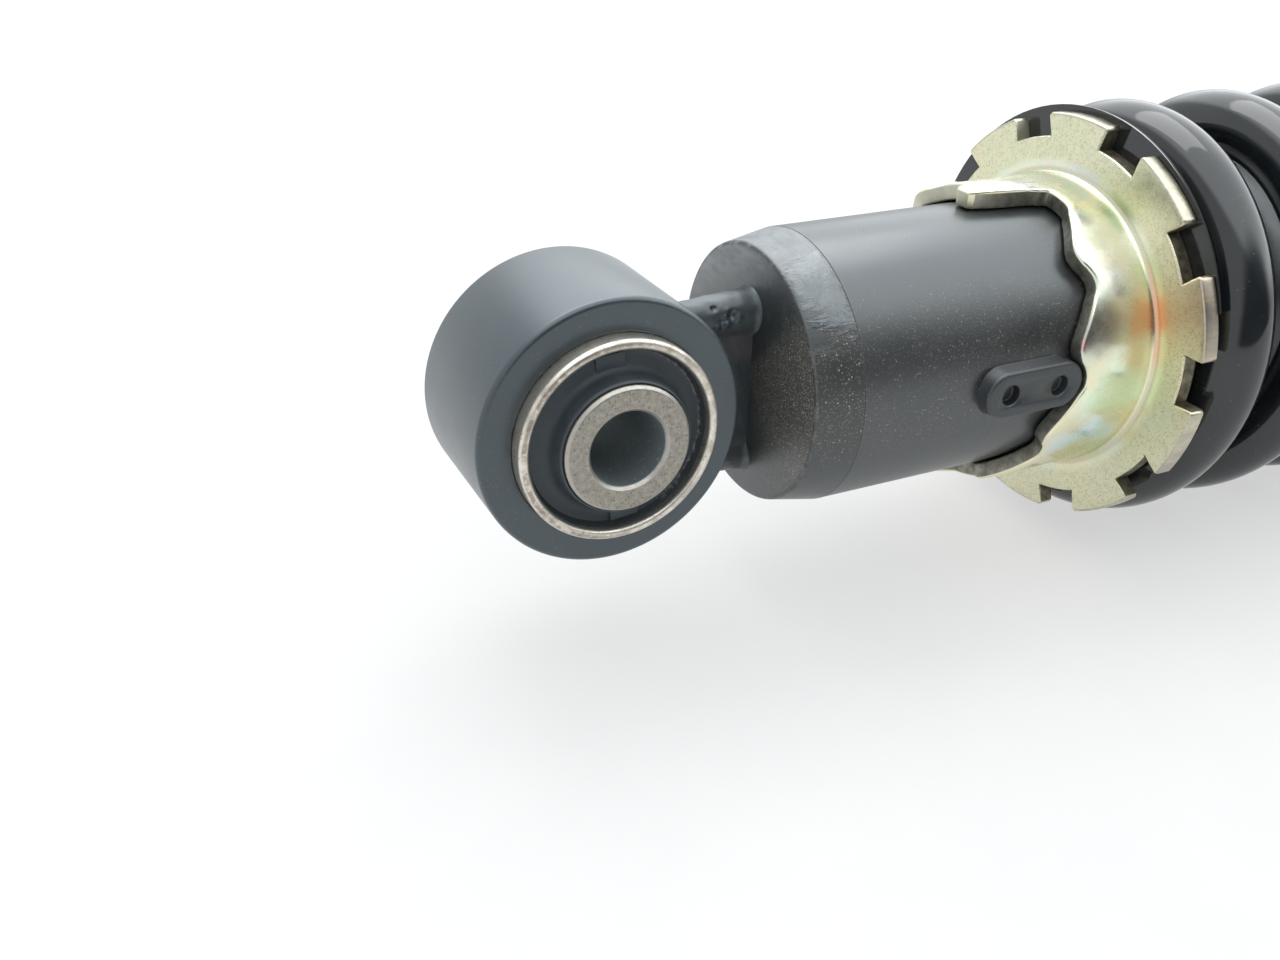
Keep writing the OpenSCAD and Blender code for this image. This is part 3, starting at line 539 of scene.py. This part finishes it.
def rod_material():
    s = Shader("rod_chrome")
    lines = s.noise(1200, 3, 0.6, stretch=(1.0, 0.1, 0.1))
    base = s.mix(s.band(lines, 0.3, 0.7), (0.66, 0.67, 0.69), (0.78, 0.79, 0.80))
    return s.set(colour=base, rough=s.band(lines, 0.3, 0.7, 0.08, 0.14), metal=1.0,
                 normal=s.bump(lines, 0.05, 0.00002))


finishes = {
    "eye_paint": paint("eye_paint", (0.021, 0.029, 0.036), 0.34, dust=0.25, specular=0.75,
                       tint=(0.82, 0.94, 1.0), coat=0.3),
    "cap_paint": paint("cap_paint", (0.020, 0.023, 0.024), 0.36, [front_dust(1.0, 0.9), cap_wear_and_sheen], ior=1.52),
    "lug_paint": paint("lug_paint", (0.024, 0.027, 0.030), 0.42, dust=0.3, specular=0.8, ior=1.5),
    "tube_paint": paint("seat_paint", (0.018, 0.020, 0.022), 0.36, dust=0.3),
    "spring_paint": spring_material(),
    "bush_shell": bush_shell_material(),
    "bush_rubber": rubber_material("bush_rubber", (0.028, 0.037, 0.044), 0.48, flash=True),
    "bump_rubber": rubber_material("bump_rubber", (0.030, 0.030, 0.027), 0.75),
    "seal_rubber": rubber_material("seal_rubber", (0.012, 0.012, 0.012), 0.6),
    "cap_plastic": rubber_material("cap_plastic", (0.016, 0.016, 0.018), 0.5),
    "band_plastic": rubber_material("band_plastic", (0.05, 0.07, 0.065), 0.5),
    "cam_zinc": cam_material(),
    "rod_chrome": rod_material(),
    "plain_steel": plain_metal("plain_steel", (0.50, 0.50, 0.51), 0.32),
    "dark_steel": plain_metal("dark_steel", (0.10, 0.10, 0.105), 0.45),
    "machined_alloy": plain_metal("machined_alloy", (0.72, 0.73, 0.75), 0.28),
    "guide_bronze": plain_metal("guide_bronze", (0.55, 0.36, 0.18), 0.34),
}
finishes["bush_sleeve"] = finishes["plain_steel"]
neck_paint = paint("neck_paint", (0.032, 0.039, 0.044), 0.44, [neck_shade], dust=0.3, specular=0.75,
                   tint=(0.86, 0.95, 1.0), coat=0.2)
tube_paint = paint("tube_paint", (0.014, 0.017, 0.019), 0.30, [front_dust(0.45, 0.6)])
cam_cut = cut_edge_material("cam_cut_edge", (0.17, 0.165, 0.135), (0.33, 0.32, 0.27), 0.40)
cam_notch = cut_edge_material("cam_notch_wall", (0.10, 0.085, 0.055), (0.26, 0.235, 0.17), 0.5)

for part in frame["record"]["subparts"]:
    node = nodes[part["node"]]
    node.data.materials.clear()
    node.data.materials.append(finishes[part["material_slot"]])


# Places in millimetres, read from the frame

def mm_box(node):
    low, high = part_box(node)
    return [v / MM for v in low], [v / MM for v in high]


def x_ends(node):
    low, high = mm_box(node)
    return low[0], high[0]


SHEET = 2.5
cap_x0 = x_ends("end_cap")[0]
tube_x0, tube_x1 = x_ends("damper_tube")
flange_x = x_ends("preload_cam")[1] - SHEET
spring_x0, spring_x1 = x_ends("coil_spring")
upper_x = sum(x_ends("upper_inner_sleeve")) / 2
EYE_R, EYE_HALF = -mm_box("lower_eye")[0][0], mm_box("lower_eye")[1][1]
SHELL_R, SHELL_WALL, SHELL_HALF = mm_box("lower_outer_sleeve")[1][0], 1.4, mm_box("lower_outer_sleeve")[1][1]
SLEEVE_HALF = mm_box("lower_inner_sleeve")[1][1]


# The bushed eyes

def bush(prefix, x, body, sleeve_body):
    """A bush: the shell with its rounded beads, the rubber with two pads on each face, and the inner sleeve."""
    half, edge, inside, waist = SHELL_HALF, 0.68, SHELL_R - SHELL_WALL, SHELL_R - SHELL_WALL + 0.02
    shell = lathe(prefix + "_bush_shell", rounded([
        (SHELL_R, -half, edge), (SHELL_R, half, edge), (inside, half, edge), (inside, half - 2.6, 0.2),
        (waist, half - 2.7, 0.2), (waist, -half + 2.7, 0.2), (inside, -half + 2.6, 0.2), (inside, -half, edge),
    ]), "y", (x, 0, 0), 256)
    finish_piece(shell, body, "bush_shell", (prefix + "_outer_sleeve",))
    collar, floor_y, wall = SLEEVE_HALF - 0.7, half - 1.9, inside - 0.02
    rise = [
        (8.55, collar - 0.6), (8.58, collar - 0.12), (8.7, collar), (8.86, collar - 0.12), (8.96, collar - 0.5),
        (9.12, floor_y + 1.15), (9.42, floor_y + 0.62), (9.85, floor_y + 0.24), (10.4, floor_y + 0.04),
        (11.0, floor_y - 0.06), (11.5, floor_y - 0.2), (11.85, floor_y - 0.12), (wall - 0.12, floor_y + 0.42),
        (wall, floor_y + 0.62),
    ]
    outline = [(r, -y) for r, y in rise] + [(r, y) for r, y in rise[::-1]]
    rubber = lathe(prefix + "_bush_rubber_body", outline, "y", (x, 0, 0), 224)
    finish_piece(rubber, body, "bush_rubber", (prefix + "_bush_rubber",))
    pad_half, pad_r, pad_reach = 1.95, 10.5, 1.15
    place = Matrix.Translation((x * MM, 0, 0)) @ Matrix.Rotation(math.radians(-5.5), 4, "Y")
    for face, side in (("front", -1), ("back", 1)):
        for end, up in (("bottom", -1), ("top", 1)):
            y0, y1 = sorted((side * (floor_y - 0.4), side * (floor_y + 0.34)))
            low, high = (-pad_half, y0, up * pad_r - pad_reach), (pad_half, y1, up * pad_r + pad_reach)
            pad = box_piece("%s_bush_pad_%s_%s" % (prefix, face, end), low, high, 0.12)
            pad.data.transform(place)
            finish_piece(pad, body, "bush_rubber")
    half, rim = SLEEVE_HALF, 0.42
    sleeve = lathe(prefix + "_bush_sleeve", rounded([
        (5.1, -half + 0.5, 0.15), (5.55, -half, 0.12), (8.1, -half, 0.3), (8.5, -half + rim, 0.25),
        (8.5, half - rim, 0.25), (8.1, half, 0.3), (5.55, half, 0.12), (5.1, half - 0.5, 0.15),
    ], 4), "y", (x, 0, 0), 224)
    finish_piece(sleeve, sleeve_body, "bush_sleeve", (prefix + "_inner_sleeve",), turned_sleeve_material(x))


def eye_ring(name, x):
    half, edge, bore = EYE_HALF, 0.8, SHELL_R + 0.02
    return lathe(name, rounded([
        (bore, -half, 0.3), (EYE_R, -half, edge), (EYE_R, half, edge), (bore, half, 0.3),
    ], 6), "y", (x, 0, 0), 320)


def lumps(x, y, z):
    """A smooth, fixed waviness between about -1 and 1."""
    return (math.sin(x * 1.9 + 1.3 * math.sin(y * 1.1 + z * 0.6)) * math.sin(y * 2.3 + 0.7 * z + 0.4)
            + 0.6 * math.sin(z * 1.7 + x * 0.9) * math.cos(x * 2.6 - y * 1.4)) / 1.6


def fillet(distance, radius):
    """How far a fillet stands out at a distance from the wall that it runs into."""
    if distance >= radius:
        return 0.0
    return radius - math.sqrt(max(0.0, radius * radius - (radius - max(0.0, distance)) ** 2))


def neck_form(name, disc_x, dents):
    """The neck: a plate with a thick rounded edge above and below, which widens to the disc.

    dents are pits and bumps: (x, y, z, size, depth), a negative depth for a bump.
    """
    around, along, plate = 150, 60, 1.45
    verts, faces = [], []
    for i in range(along + 1):
        t = i / along
        for side in (1, -1):
            for j in range(around + 1):
                if side < 0 and j in (0, around):
                    continue
                turn = math.pi * (j / around - 0.5) * side
                top_c, top_r = 9.15 + 0.25 * t, 2.55 + 0.6 * t
                low_c, low_r = -12.2 - 0.6 * t, 1.9 + 0.2 * t
                end = 0.75 * fillet((1 - t) * 9.0, 1.0)
                high, low = top_c + top_r + 0.4 * end, low_c - low_r - end
                z = (high + low) / 2 + (high - low) / 2 * math.sin(turn)
                ring_x = math.sqrt(EYE_R ** 2 - min(abs(z), 15.5) ** 2) - 0.7
                x = ring_x + (disc_x + 0.25 - ring_x) * t
                grow = 0.5 * fillet(disc_x - x, 1.1) + 0.5 * fillet(x - ring_x - 0.7, 0.9)
                upper = math.sqrt(max(0.0, (top_r + 0.4 * end) ** 2 - (z - top_c) ** 2))
                lower = math.sqrt(max(0.0, (low_r + end) ** 2 - (z - low_c) ** 2))
                lobe = max(upper, lower) + grow * 0.6
                if z > top_c or z < low_c:
                    half = lobe if lobe > 0.02 else 0.0
                else:
                    gap = max(0.0, 1 - abs(plate - lobe) / 1.3)
                    half = max(plate, lobe) + 0.3 * gap * gap
                y = half * side
                swell = 0.05 * lumps(x, y, z) * min(1.0, 4 * (1 - t))
                y += swell * side
                z += 0.5 * swell
                for px, py, pz, size, depth in dents:
                    d2 = ((x - px) ** 2 + (y - py) ** 2 + (z - pz) ** 2) / (size * size)
                    if d2 < 9:
                        y -= depth * math.copysign(1.0, y) * math.exp(-d2)
                        z -= 0.35 * depth * math.exp(-d2)
                verts.append((x, y, z))
    n = 2 * around
    for i in range(along):
        for j in range(n):
            k = (j + 1) % n
            faces.append((i * n + j, i * n + k, (i + 1) * n + k, (i + 1) * n + j))
    faces.append(tuple(range(n)))
    faces.append(tuple(along * n + j for j in reversed(range(n))))
    return new_piece(name, verts, faces, 70)


finish_piece(eye_ring("lower_eye_ring", 0), "damper_body", "eye_paint", ("lower_eye",))
lower_neck = neck_form("lower_eye_neck", cap_x0, [
    (18.4, -2.1, 11.2, 0.32, 0.55), (20.9, -2.8, 10.05, 0.62, 0.62), (20.3, -2.75, 10.85, 0.5, -0.25),
    (21.8, -2.8, 9.7, 0.5, -0.2), (19.4, -2.9, 9.5, 0.34, 0.28), (20.0, -2.85, 8.9, 0.5, -0.42),
    (18.6, -2.7, 8.5, 0.5, -0.42), (19.9, -2.8, 10.0, 0.3, -0.22),
])
finish_piece(lower_neck, "damper_body", "eye_paint", ("lower_eye",), neck_paint)
bush("lower", 0, "damper_body", "lower_sleeve")


# The end cap, the tube and the stop lugs

cap = lathe("end_cap_form", rounded([
    (0, cap_x0, 0), (18.2, cap_x0, 0.45), (19.48, tube_x0, 0.35), (19.2, tube_x0 + 0.2, 0),
    (17.4, tube_x0 + 0.25, 0), (17.4, tube_x0 + 4.6, 0), (0, tube_x0 + 4.6, 0),
], 5), "x", (0, 0, 0), 288)
finish_piece(cap, "damper_body", "cap_paint", ("end_cap",))
tube = lathe("damper_tube_form", rounded([
    (17.5, tube_x0, 0), (19.5, tube_x0, 0.12), (19.5, tube_x1, 0.5), (17.5, tube_x1, 0.5),
], 4), "x", (0, 0, 0), 288)
finish_piece(tube, "damper_body", "tube_paint", ("damper_tube",), tube_paint)

LUG_NOSE, LUG_LEN, LUG_WIDE, LUG_ANGLE, LUG_TOP = 66.9, 16.6, 6.8, 179.5, 21.7


def stop_lug(name, turn):
    """A stadium block with rounded top edges and two blind holes."""
    mid, half, r = LUG_NOSE - LUG_LEN / 2, LUG_LEN / 2 - LUG_WIDE / 2, LUG_WIDE / 2
    outline = []
    for end in (1, -1):
        for k in range(25):
            a = math.radians(-90 + 180 * k / 24) + (0 if end > 0 else math.pi)
            outline.append((mid + end * half + r * math.cos(a), r * math.sin(a), math.cos(a), math.sin(a)))
    edge, steps = 0.5, 6
    levels = [(19.0, 0.0), (19.6, 0.0), (LUG_TOP - edge, 0.0)]
    for k in range(1, steps + 1):
        a = math.pi / 2 * k / steps
        levels.append((LUG_TOP - edge * (1 - math.sin(a)), edge * (1 - math.cos(a))))
    n = len(outline)
    verts, faces = [], []
    for h, inset in levels:
        flare = 0.3 * max(0.0, 1 - (h - 19.0) / 0.9) ** 2
        for ox, oz, nx, nz in outline:
            verts.append((ox + nx * (flare - inset), h, oz + nz * (flare - inset)))
    for i in range(len(levels) - 1):
        for j in range(n):
            k = (j + 1) % n
            faces.append((i * n + j, i * n + k, (i + 1) * n + k, (i + 1) * n + j))
    faces.append(tuple(range(n)))
    faces.append(tuple((len(levels) - 1) * n + j for j in range(n)))
    lug = new_piece(name, verts, faces, 50)
    cutters = []
    for side in (-1, 1):
        hole = lathe(name + "_cut", rounded([
            (0, 20.1), (1.45, 20.1, 0.3), (1.45, LUG_TOP - 0.25, 0.1), (1.7, LUG_TOP + 0.05),
            (1.7, LUG_TOP + 1), (0, LUG_TOP + 1),
        ], 3), "y", (mid + side * 4.25, 0, 0), 48)
        cutters.append(hole)
    for hole in cutters:
        cut = lug.modifiers.new("hole", "BOOLEAN")
        cut.operation = "DIFFERENCE"
        cut.solver = "EXACT"
        cut.object = hole
    bpy.context.view_layer.update()
    depsgraph = bpy.context.evaluated_depsgraph_get()
    mesh = bpy.data.meshes.new_from_object(lug.evaluated_get(depsgraph))
    lug.modifiers.clear()
    lug.data = mesh
    for hole in cutters:
        bpy.data.objects.remove(hole)
    mesh.transform(Matrix.Rotation(math.radians(turn), 4, "X"))
    return lug


for label, turn in (("front", LUG_ANGLE), ("back", LUG_ANGLE + 180)):
    lug = stop_lug("stop_lug_" + label, turn)
    finish_piece(lug, "damper_body", "lug_paint", ("preload_stop_lugs",))


# The preload cam: a grid round the axis and over the sheet's cross-section

def edge_profile():
    """Angle to x of the neck's free edge over half a turn: five seats, with a crest after each of four."""
    first, step, drop = LUG_ANGLE - 71.0, 35.5, 2.4
    seat, lip = flange_x - 7.0, flange_x - 19.6
    points = [(first - 10.5, seat - 2.0), (first - 8.5, seat - 0.25), (first - 5, seat - 0.05)]
    climb = [(0, 0), (2, 0.1), (5, 0.8), (9.5, 1.7), (14, 2.6), (18, 3.4), (21, 3.85), (23.5, 4.0), (27, 3.7)]
    climb += [(30.5, 2.9), (33.5, 2.47)]
    for k in range(4):
        points += [(first + step * k + turn, seat - drop * k - rise) for turn, rise in climb]
    top = seat - 4 * drop
    last = [
        (142, top), (151, top - 0.05), (153.5, top - 0.9), (156, lip + 0.45),
        (158.5, lip), (162.5, lip), (164.5, lip + 0.15), (167, lip + 4.6),
    ]
    points += [(first + turn, x) for turn, x in last]
    return points


EDGE = edge_profile()


def edge_x(angle):
    first = EDGE[0][0]
    a = (angle - first) % 180.0 + first
    xs = [p[0] for p in EDGE] + [first + 180.0]
    ys = [p[1] for p in EDGE] + [EDGE[0][1]]
    i = max(j for j in range(len(xs) - 1) if xs[j] <= a + 1e-9)

    def slope(j):
        if j == 0 or j == len(xs) - 1:
            return 0.0
        d0 = (ys[j] - ys[j - 1]) / (xs[j] - xs[j - 1])
        d1 = (ys[j + 1] - ys[j]) / (xs[j + 1] - xs[j])
        return 0.0 if d0 * d1 <= 0 else 2 * d0 * d1 / (d0 + d1)

    h = xs[i + 1] - xs[i]
    t = (a - xs[i]) / h
    return ((2 * t ** 3 - 3 * t ** 2 + 1) * ys[i] + (t ** 3 - 2 * t ** 2 + t) * h * slope(i)
            + (3 * t ** 2 - 2 * t ** 3) * ys[i + 1] + (t ** 3 - t ** 2) * h * slope(i + 1))


NOTCH_R, FLANGE_R, NOTCH_W, NOTCH_A = 27.6, 31.0, 7.3, 71.0
WALL_TURN = math.degrees(math.asin(NOTCH_W / 2 / NOTCH_R))
ROLL = 0.38


def cam_columns():
    """Columns round the flange: (angle, offset from the nearest notch's centre, whether it is on a tab)."""
    columns = []
    for k in range(10):
        centre = NOTCH_A + 36 * k
        for side in (-1, 1):
            inside = [0, 1.5, 3, 4.5, 5.8, 6.6, 7.1, WALL_TURN - 0.15, WALL_TURN - 0.02]
            past_wall = (0.0, 0.12, 0.3, 0.55, 0.9, 1.4, 2.2, 3.2, 4.4, 5.6, 6.8, 8.0, 9.2)
            for d in inside:
                if not (d == 0 and side < 0):
                    columns.append((centre + side * d, side * d, False))
            for d in past_wall:
                columns.append((centre + side * (WALL_TURN + d), side * (WALL_TURN + d), True))
            if side > 0:
                columns.append((centre + 18.0, 18.0, True))
    return sorted(columns)


def rim_point(angle, offset, on_tab, r):
    """The angle at radius r of a column: near a notch's wall it runs parallel to the notch."""
    if not on_tab or r <= NOTCH_R:
        return angle
    side = 1 if offset > 0 else -1
    share = max(0.0, (18.0 - abs(offset)) / (18.0 - WALL_TURN))
    return angle + side * share * (math.degrees(math.asin(NOTCH_W / 2 / r)) - WALL_TURN)


def front_x(angle, r):
    """The flange's front face, rounded over wherever it comes near the outline."""
    d = (angle - NOTCH_A + 18.0) % 36.0 - 18.0
    across = abs(r * math.sin(math.radians(d)))
    over = across - NOTCH_W / 2
    if over >= 0:
        gap = FLANGE_R - r
        gap = min(gap, over if r > NOTCH_R else math.hypot(over, NOTCH_R - r))
    else:
        gap = NOTCH_R - r
    if gap >= ROLL:
        return flange_x
    return flange_x + ROLL * (1 - math.sqrt(max(0.0, 1 - ((ROLL - max(0.0, gap)) / ROLL) ** 2)))


def cam_section(angle, offset, on_tab):
    """Points of the sheet's section in a column, from the neck's edge over the front and round the back."""
    inner, outer, bend, back_bend = 19.8, 22.3, 0.9, 2.0
    x_edge, rim = edge_x(angle), FLANGE_R if on_tab else NOTCH_R
    corner = abs(offset) - WALL_TURN
    if on_tab and corner < 1.0:
        rim -= 0.45 * (1 - corner) ** 2
    back_x = flange_x + SHEET
    pts = []

    def put(r, x):
        pts.append((r, x, rim_point(angle, offset, on_tab, r)))

    def arc(cr, cx, radius, a0, a1, n):
        for k in range(n + 1):
            a = math.radians(a0 + (a1 - a0) * k / n)
            put(cr + radius * math.cos(a), cx + radius * math.sin(a))

    arc(inner + 0.3, x_edge + 0.3, 0.3, 180, 270, 3)
    arc(outer - 0.55, x_edge + 0.55, 0.55, 270, 360, 4)
    for k in range(1, 6):
        put(outer, x_edge + 0.55 + (flange_x - bend - x_edge - 0.55) * k / 6)
    arc(outer + bend, flange_x - bend, bend, 180, 90, 7)
    start = outer + bend
    for k in range(1, 5):
        put(start + (NOTCH_R - ROLL - 0.2 - start) * k / 4, flange_x)
    if on_tab:
        radii = [NOTCH_R - 0.3, NOTCH_R - 0.12, NOTCH_R, NOTCH_R + 0.02]
        radii += [NOTCH_R + (rim - ROLL - NOTCH_R) * k / 6 for k in range(1, 7)]
        radii += [rim - ROLL * (1 - math.sin(math.pi / 2 * k / 5)) for k in range(1, 6)]
    else:
        radii = [NOTCH_R - ROLL * (1 - math.sin(math.pi / 2 * k / 15)) for k in range(1, 16)]
    for r in radii:
        r = min(r, rim)
        turned = rim_point(angle, offset, on_tab, r)
        lift = front_x(turned, r + (FLANGE_R - rim if on_tab and r > NOTCH_R + 1 else 0.0))
        pts.append((r, lift, turned))
    put(rim, flange_x + (ROLL + SHEET) / 2)
    put(rim, back_x - 0.15)
    put(rim - 0.15, back_x)
    stop = inner + back_bend
    for r in (NOTCH_R + 0.02, NOTCH_R, NOTCH_R - 0.3):
        put(min(r, rim - 0.16), back_x)
    for k in range(1, 5):
        put(NOTCH_R - 0.3 + (stop - NOTCH_R + 0.3) * k / 5, back_x)
    arc(stop, back_x - back_bend, back_bend, 90, 180, 7)
    for k in range(1, 6):
        put(inner, back_x - back_bend + (x_edge + 0.3 - back_x + back_bend) * k / 6)
    return pts


def preload_cam():
    verts, faces = [], []
    columns = cam_columns()
    for angle, offset, on_tab in columns:
        section = cam_section(angle, offset, on_tab)
        n = len(section)
        for r, x, a in section:
            verts.append((x, r * math.cos(math.radians(a)), r * math.sin(math.radians(a))))
    m = len(columns)
    for j in range(m):
        k = (j + 1) % m
        for i in range(n):
            q = (i + 1) % n
            faces.append((j * n + i, j * n + q, k * n + q, k * n + i))
    piece = new_piece("preload_cam_pressing", verts, faces, 42)
    finish_piece(piece, "cam_body", "cam_zinc", ("preload_cam",))
    piece.data.materials.append(cam_cut)
    piece.data.materials.append(cam_notch)
    for f in piece.data.polygons:
        c = f.center
        r = math.hypot(c.y, c.z) / MM
        a = math.degrees(math.atan2(c.z, c.y)) % 360
        free_edge = c.x / MM < edge_x(a) + 0.28 and r < 21.98
        notch_face = NOTCH_R - 0.1 < r < FLANGE_R - 0.5 and abs(f.normal.x) < 0.35
        if free_edge:
            f.material_index = 1
        elif notch_face and c.x / MM > flange_x + 0.3:
            f.material_index = 2


preload_cam()


# The coil spring

WIRE, COIL_R, TURNS, TIP_ANGLE, STROKE = 10.0, 27.0, 9.5, 160.0, 50.0
CLOSED, BLEND, TIP = 0.95, 0.5, 0.25


def coil_spring():
    """The wire, closed and ground flat at both ends."""
    length = spring_x1 - spring_x0
    closed_pitch = WIRE * 1.05
    free = TURNS - 2 * CLOSED - BLEND
    pitch = (length + 2 * TIP * WIRE - closed_pitch * (TURNS - free)) / free

    def centre(u):
        s = max(0.0, u - CLOSED)
        half = min(1.0, s / BLEND)
        return closed_pitch * u + (pitch - closed_pitch) * (s - BLEND * half * (1 - half / 2)) - TIP * WIRE

    sides, per_turn = 40, 96
    count = int(TURNS * per_turn)
    wire_r = WIRE / 2
    verts, faces = [], []
    for n in range(count + 1):
        u = TURNS * n / count
        low_end = u < TURNS / 2
        c = centre(u if low_end else TURNS - u)
        start = max(math.asin(max(-1.0, min(1.0, -c / wire_r))), -math.pi / 2 + math.pi / sides)
        turn = math.radians(TIP_ANGLE - 360 * u)
        ring = []
        for i in range(sides):
            a = start + (math.pi - 2 * start) * i / (sides - 1)
            r = COIL_R + wire_r * math.cos(a)
            x = max(0.0, c + wire_r * math.sin(a))
            ring.append((spring_x0 + x if low_end else spring_x1 - x, r * math.cos(turn), r * math.sin(turn)))
        verts += ring if low_end else ring[::-1]
    for n in range(count):
        for i in range(sides):
            k = (i + 1) % sides
            faces.append((n * sides + i, (n + 1) * sides + i, (n + 1) * sides + k, n * sides + k))
    faces.append(tuple(range(sides)))
    faces.append(tuple(count * sides + i for i in reversed(range(sides))))
    piece = new_piece("coil_spring_wire", verts, faces, 38)
    finish_piece(piece, "spring_body", "spring_paint", ("coil_spring",))
    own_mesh(piece)


coil_spring()


# The hidden end, finished plainly

def stepped(name, node, corners, body, slot, segments=192, steps=4):
    piece = lathe(name, rounded(corners, steps), "x", (0, 0, 0), segments)
    return finish_piece(piece, body, slot, (node,))


low, high = x_ends("dust_cap")
stepped("dust_cap_form", "dust_cap", [
    (19.55, low, 0.1), (20.7, low, 0.3), (20.7, high, 0.9), (6.55, high, 0.3), (6.55, tube_x1, 0),
    (19.55, tube_x1, 0),
], "damper_body", "cap_plastic")
low, shoulder_x = x_ends("upper_spring_seat")
stepped("upper_spring_seat_form", "upper_spring_seat", [
    (11.8, shoulder_x, 0.2), (11.8, shoulder_x - 6.7, 0.2), (17.3, shoulder_x - 6.7, 0.2),
    (17.3, spring_x1 - 6, 0.3), (20.5, spring_x1 - 6, 0.5), (21.5, spring_x1 - 4.6, 0.5), (21.5, spring_x1, 0.5),
    (33.2, spring_x1, 0.6), (33.2, low, 0.4), (35.0, low, 0.5), (35.0, shoulder_x, 2.2),
], "rod_body", "tube_paint", 256)
low, high = x_ends("bump_stop_washer")
stepped("bump_stop_washer_form", "bump_stop_washer", [
    (5.75, low, 0.1), (17.0, low, 0.3), (17.0, high, 0.3), (5.75, high, 0.1),
], "rod_body", "plain_steel")
low, high = x_ends("bump_stop")
long = high - low
stepped("bump_stop_form", "bump_stop", [
    (6.35, low, 0.3), (8.9, low, 0.6), (10.2, low + 1.5, 0.9), (11.2, low + 0.2 * long, 1.6),
    (9.3, low + 0.33 * long, 1.6), (15.4, low + 0.50 * long, 2.2), (15.5, low + 0.60 * long, 1.8),
    (13.0, low + 0.72 * long, 1.4), (16.4, low + 0.85 * long, 1.6), (16.4, high, 0.9), (6.35, high, 0.2),
], "rod_body", "bump_rubber", 160, 5)
finish_piece(eye_ring("upper_eye_ring", upper_x), "rod_body", "eye_paint", ("upper_eye",))
shank = lathe("upper_eye_shank", rounded([
    (5.75, shoulder_x, 0.2), (19.0, shoulder_x, 0.6), (19.0, shoulder_x + 4, 0.6), (12.0, shoulder_x + 4, 2.0),
    (12.0, upper_x - 23.0, 4.0), (10.3, upper_x - 19.0, 1.5), (10.3, upper_x - 15.0, 0), (5.75, upper_x - 15.0, 0),
], 6), "x", (0, 0, 0), 192)
SHANK_STOP_R = 17.6
for v in shank.data.vertices:
    reach = upper_x * MM - math.sqrt(max((SHANK_STOP_R * MM) ** 2 - v.co.z ** 2, 0))
    if v.co.x > reach:
        v.co.x = reach
finish_piece(shank, "rod_body", "eye_paint", ("upper_eye",))
bush("upper", upper_x, "rod_body", "upper_sleeve")


# Floor, backdrop and light

def stage():
    """A plain pale floor, partly its own white to the camera and to reflections, so that it keeps the shadow."""
    floor_z = min(v.co.z for v in nodes["upper_spring_seat"].data.vertices) - 0.0002
    bm = bmesh.new()
    bmesh.ops.create_grid(bm, x_segments=8, y_segments=8, size=6.0)
    mesh = bpy.data.meshes.new("floor")
    bm.to_mesh(mesh)
    bm.free()
    mesh.transform(Matrix.Translation((0, 0, floor_z)))
    floor = bpy.data.objects.new("floor", mesh)
    scene.collection.objects.link(floor)
    s = Shader("floor_paint")
    base = s.mix(s.band(s.noise(22, 4, 0.6), 0.3, 0.7), (0.80, 0.80, 0.80), (0.86, 0.86, 0.855))
    s.set(colour=base, rough=0.7, normal=s.bump(s.noise(240, 4, 0.6), 0.08, 0.0003), specular=0.3)
    glow = s.add("ShaderNodeEmission")
    rays = s.add("ShaderNodeLightPath").outputs
    seen = s.most(rays["Is Camera Ray"], s.most(rays["Is Glossy Ray"], rays["Is Transmission Ray"]))
    blend = s.add("ShaderNodeMixShader")
    for value, socket in zip((s.times(seen, 0.55), s.bsdf.outputs[0], glow.outputs[0]), blend.inputs):
        s.link(value, socket)
    s.link(blend.outputs[0], s.out.inputs["Surface"])
    mesh.materials.append(s.material)


def studio():
    """A soft room: brighter overhead, darker behind the camera, and plain white to the camera itself."""
    world = bpy.data.worlds.new("studio")
    scene.world = world
    world.use_nodes = True
    sky = Nodes(world.node_tree)
    ray = sky.add("ShaderNodeTexCoord").outputs["Generated"]
    rays = sky.add("ShaderNodeLightPath").outputs

    def facing(direction, low, high):
        """A soft step over how far a ray points along a direction."""
        dot = sky.add("ShaderNodeVectorMath", operation="DOT_PRODUCT")
        sky.link(ray, dot.inputs[0])
        dot.inputs[1].default_value = Vector(direction).normalized()
        return sky.band(dot.outputs["Value"], low, high)

    def choose(share, a, b):
        """a where share is 0 and b where it is 1."""
        return sky.plus(sky.times(sky.minus(1.0, share), a), sky.times(share, b))

    ceiling = facing((0.45, 0.1, 0.89), 0.40, 0.59)
    room = sky.minus(1.0, facing((0.2, -0.97, -0.1), 0.50, 0.78))

    def level(base, ceiling_gain, darkest):
        lifted = sky.plus(base, sky.times(ceiling, ceiling_gain))
        return sky.times(lifted, sky.plus(darkest, sky.times(room, 1 - darkest)))

    shiny = sky.most(rays["Is Glossy Ray"], rays["Is Transmission Ray"])
    seen_light = choose(shiny, level(0.92, 0.35, 0.35), level(1.0, 1.5, 0.12))
    background = sky.add("ShaderNodeBackground")
    background.inputs["Color"].default_value = (0.94, 0.98, 1.0, 1.0)
    sky.link(choose(rays["Is Camera Ray"], seen_light, 1.05), background.inputs["Strength"])
    sky.link(background.outputs[0], sky.add("ShaderNodeOutputWorld").inputs["Surface"])


def key_light():
    data = bpy.data.lights.new("key", "AREA")
    data.shape = "RECTANGLE"
    data.size, data.size_y = 0.7, 0.5
    data.energy = 2.5
    lamp = bpy.data.objects.new("key", data)
    place, target = Vector((0.15, 0.35, 0.75)), Vector((0.08, 0, 0))
    lamp.location = place
    lamp.rotation_euler = (target - place).to_track_quat("-Z", "Y").to_euler()
    scene.collection.objects.link(lamp)


stage()
studio()
key_light()
scene.view_settings.view_transform = "Standard"
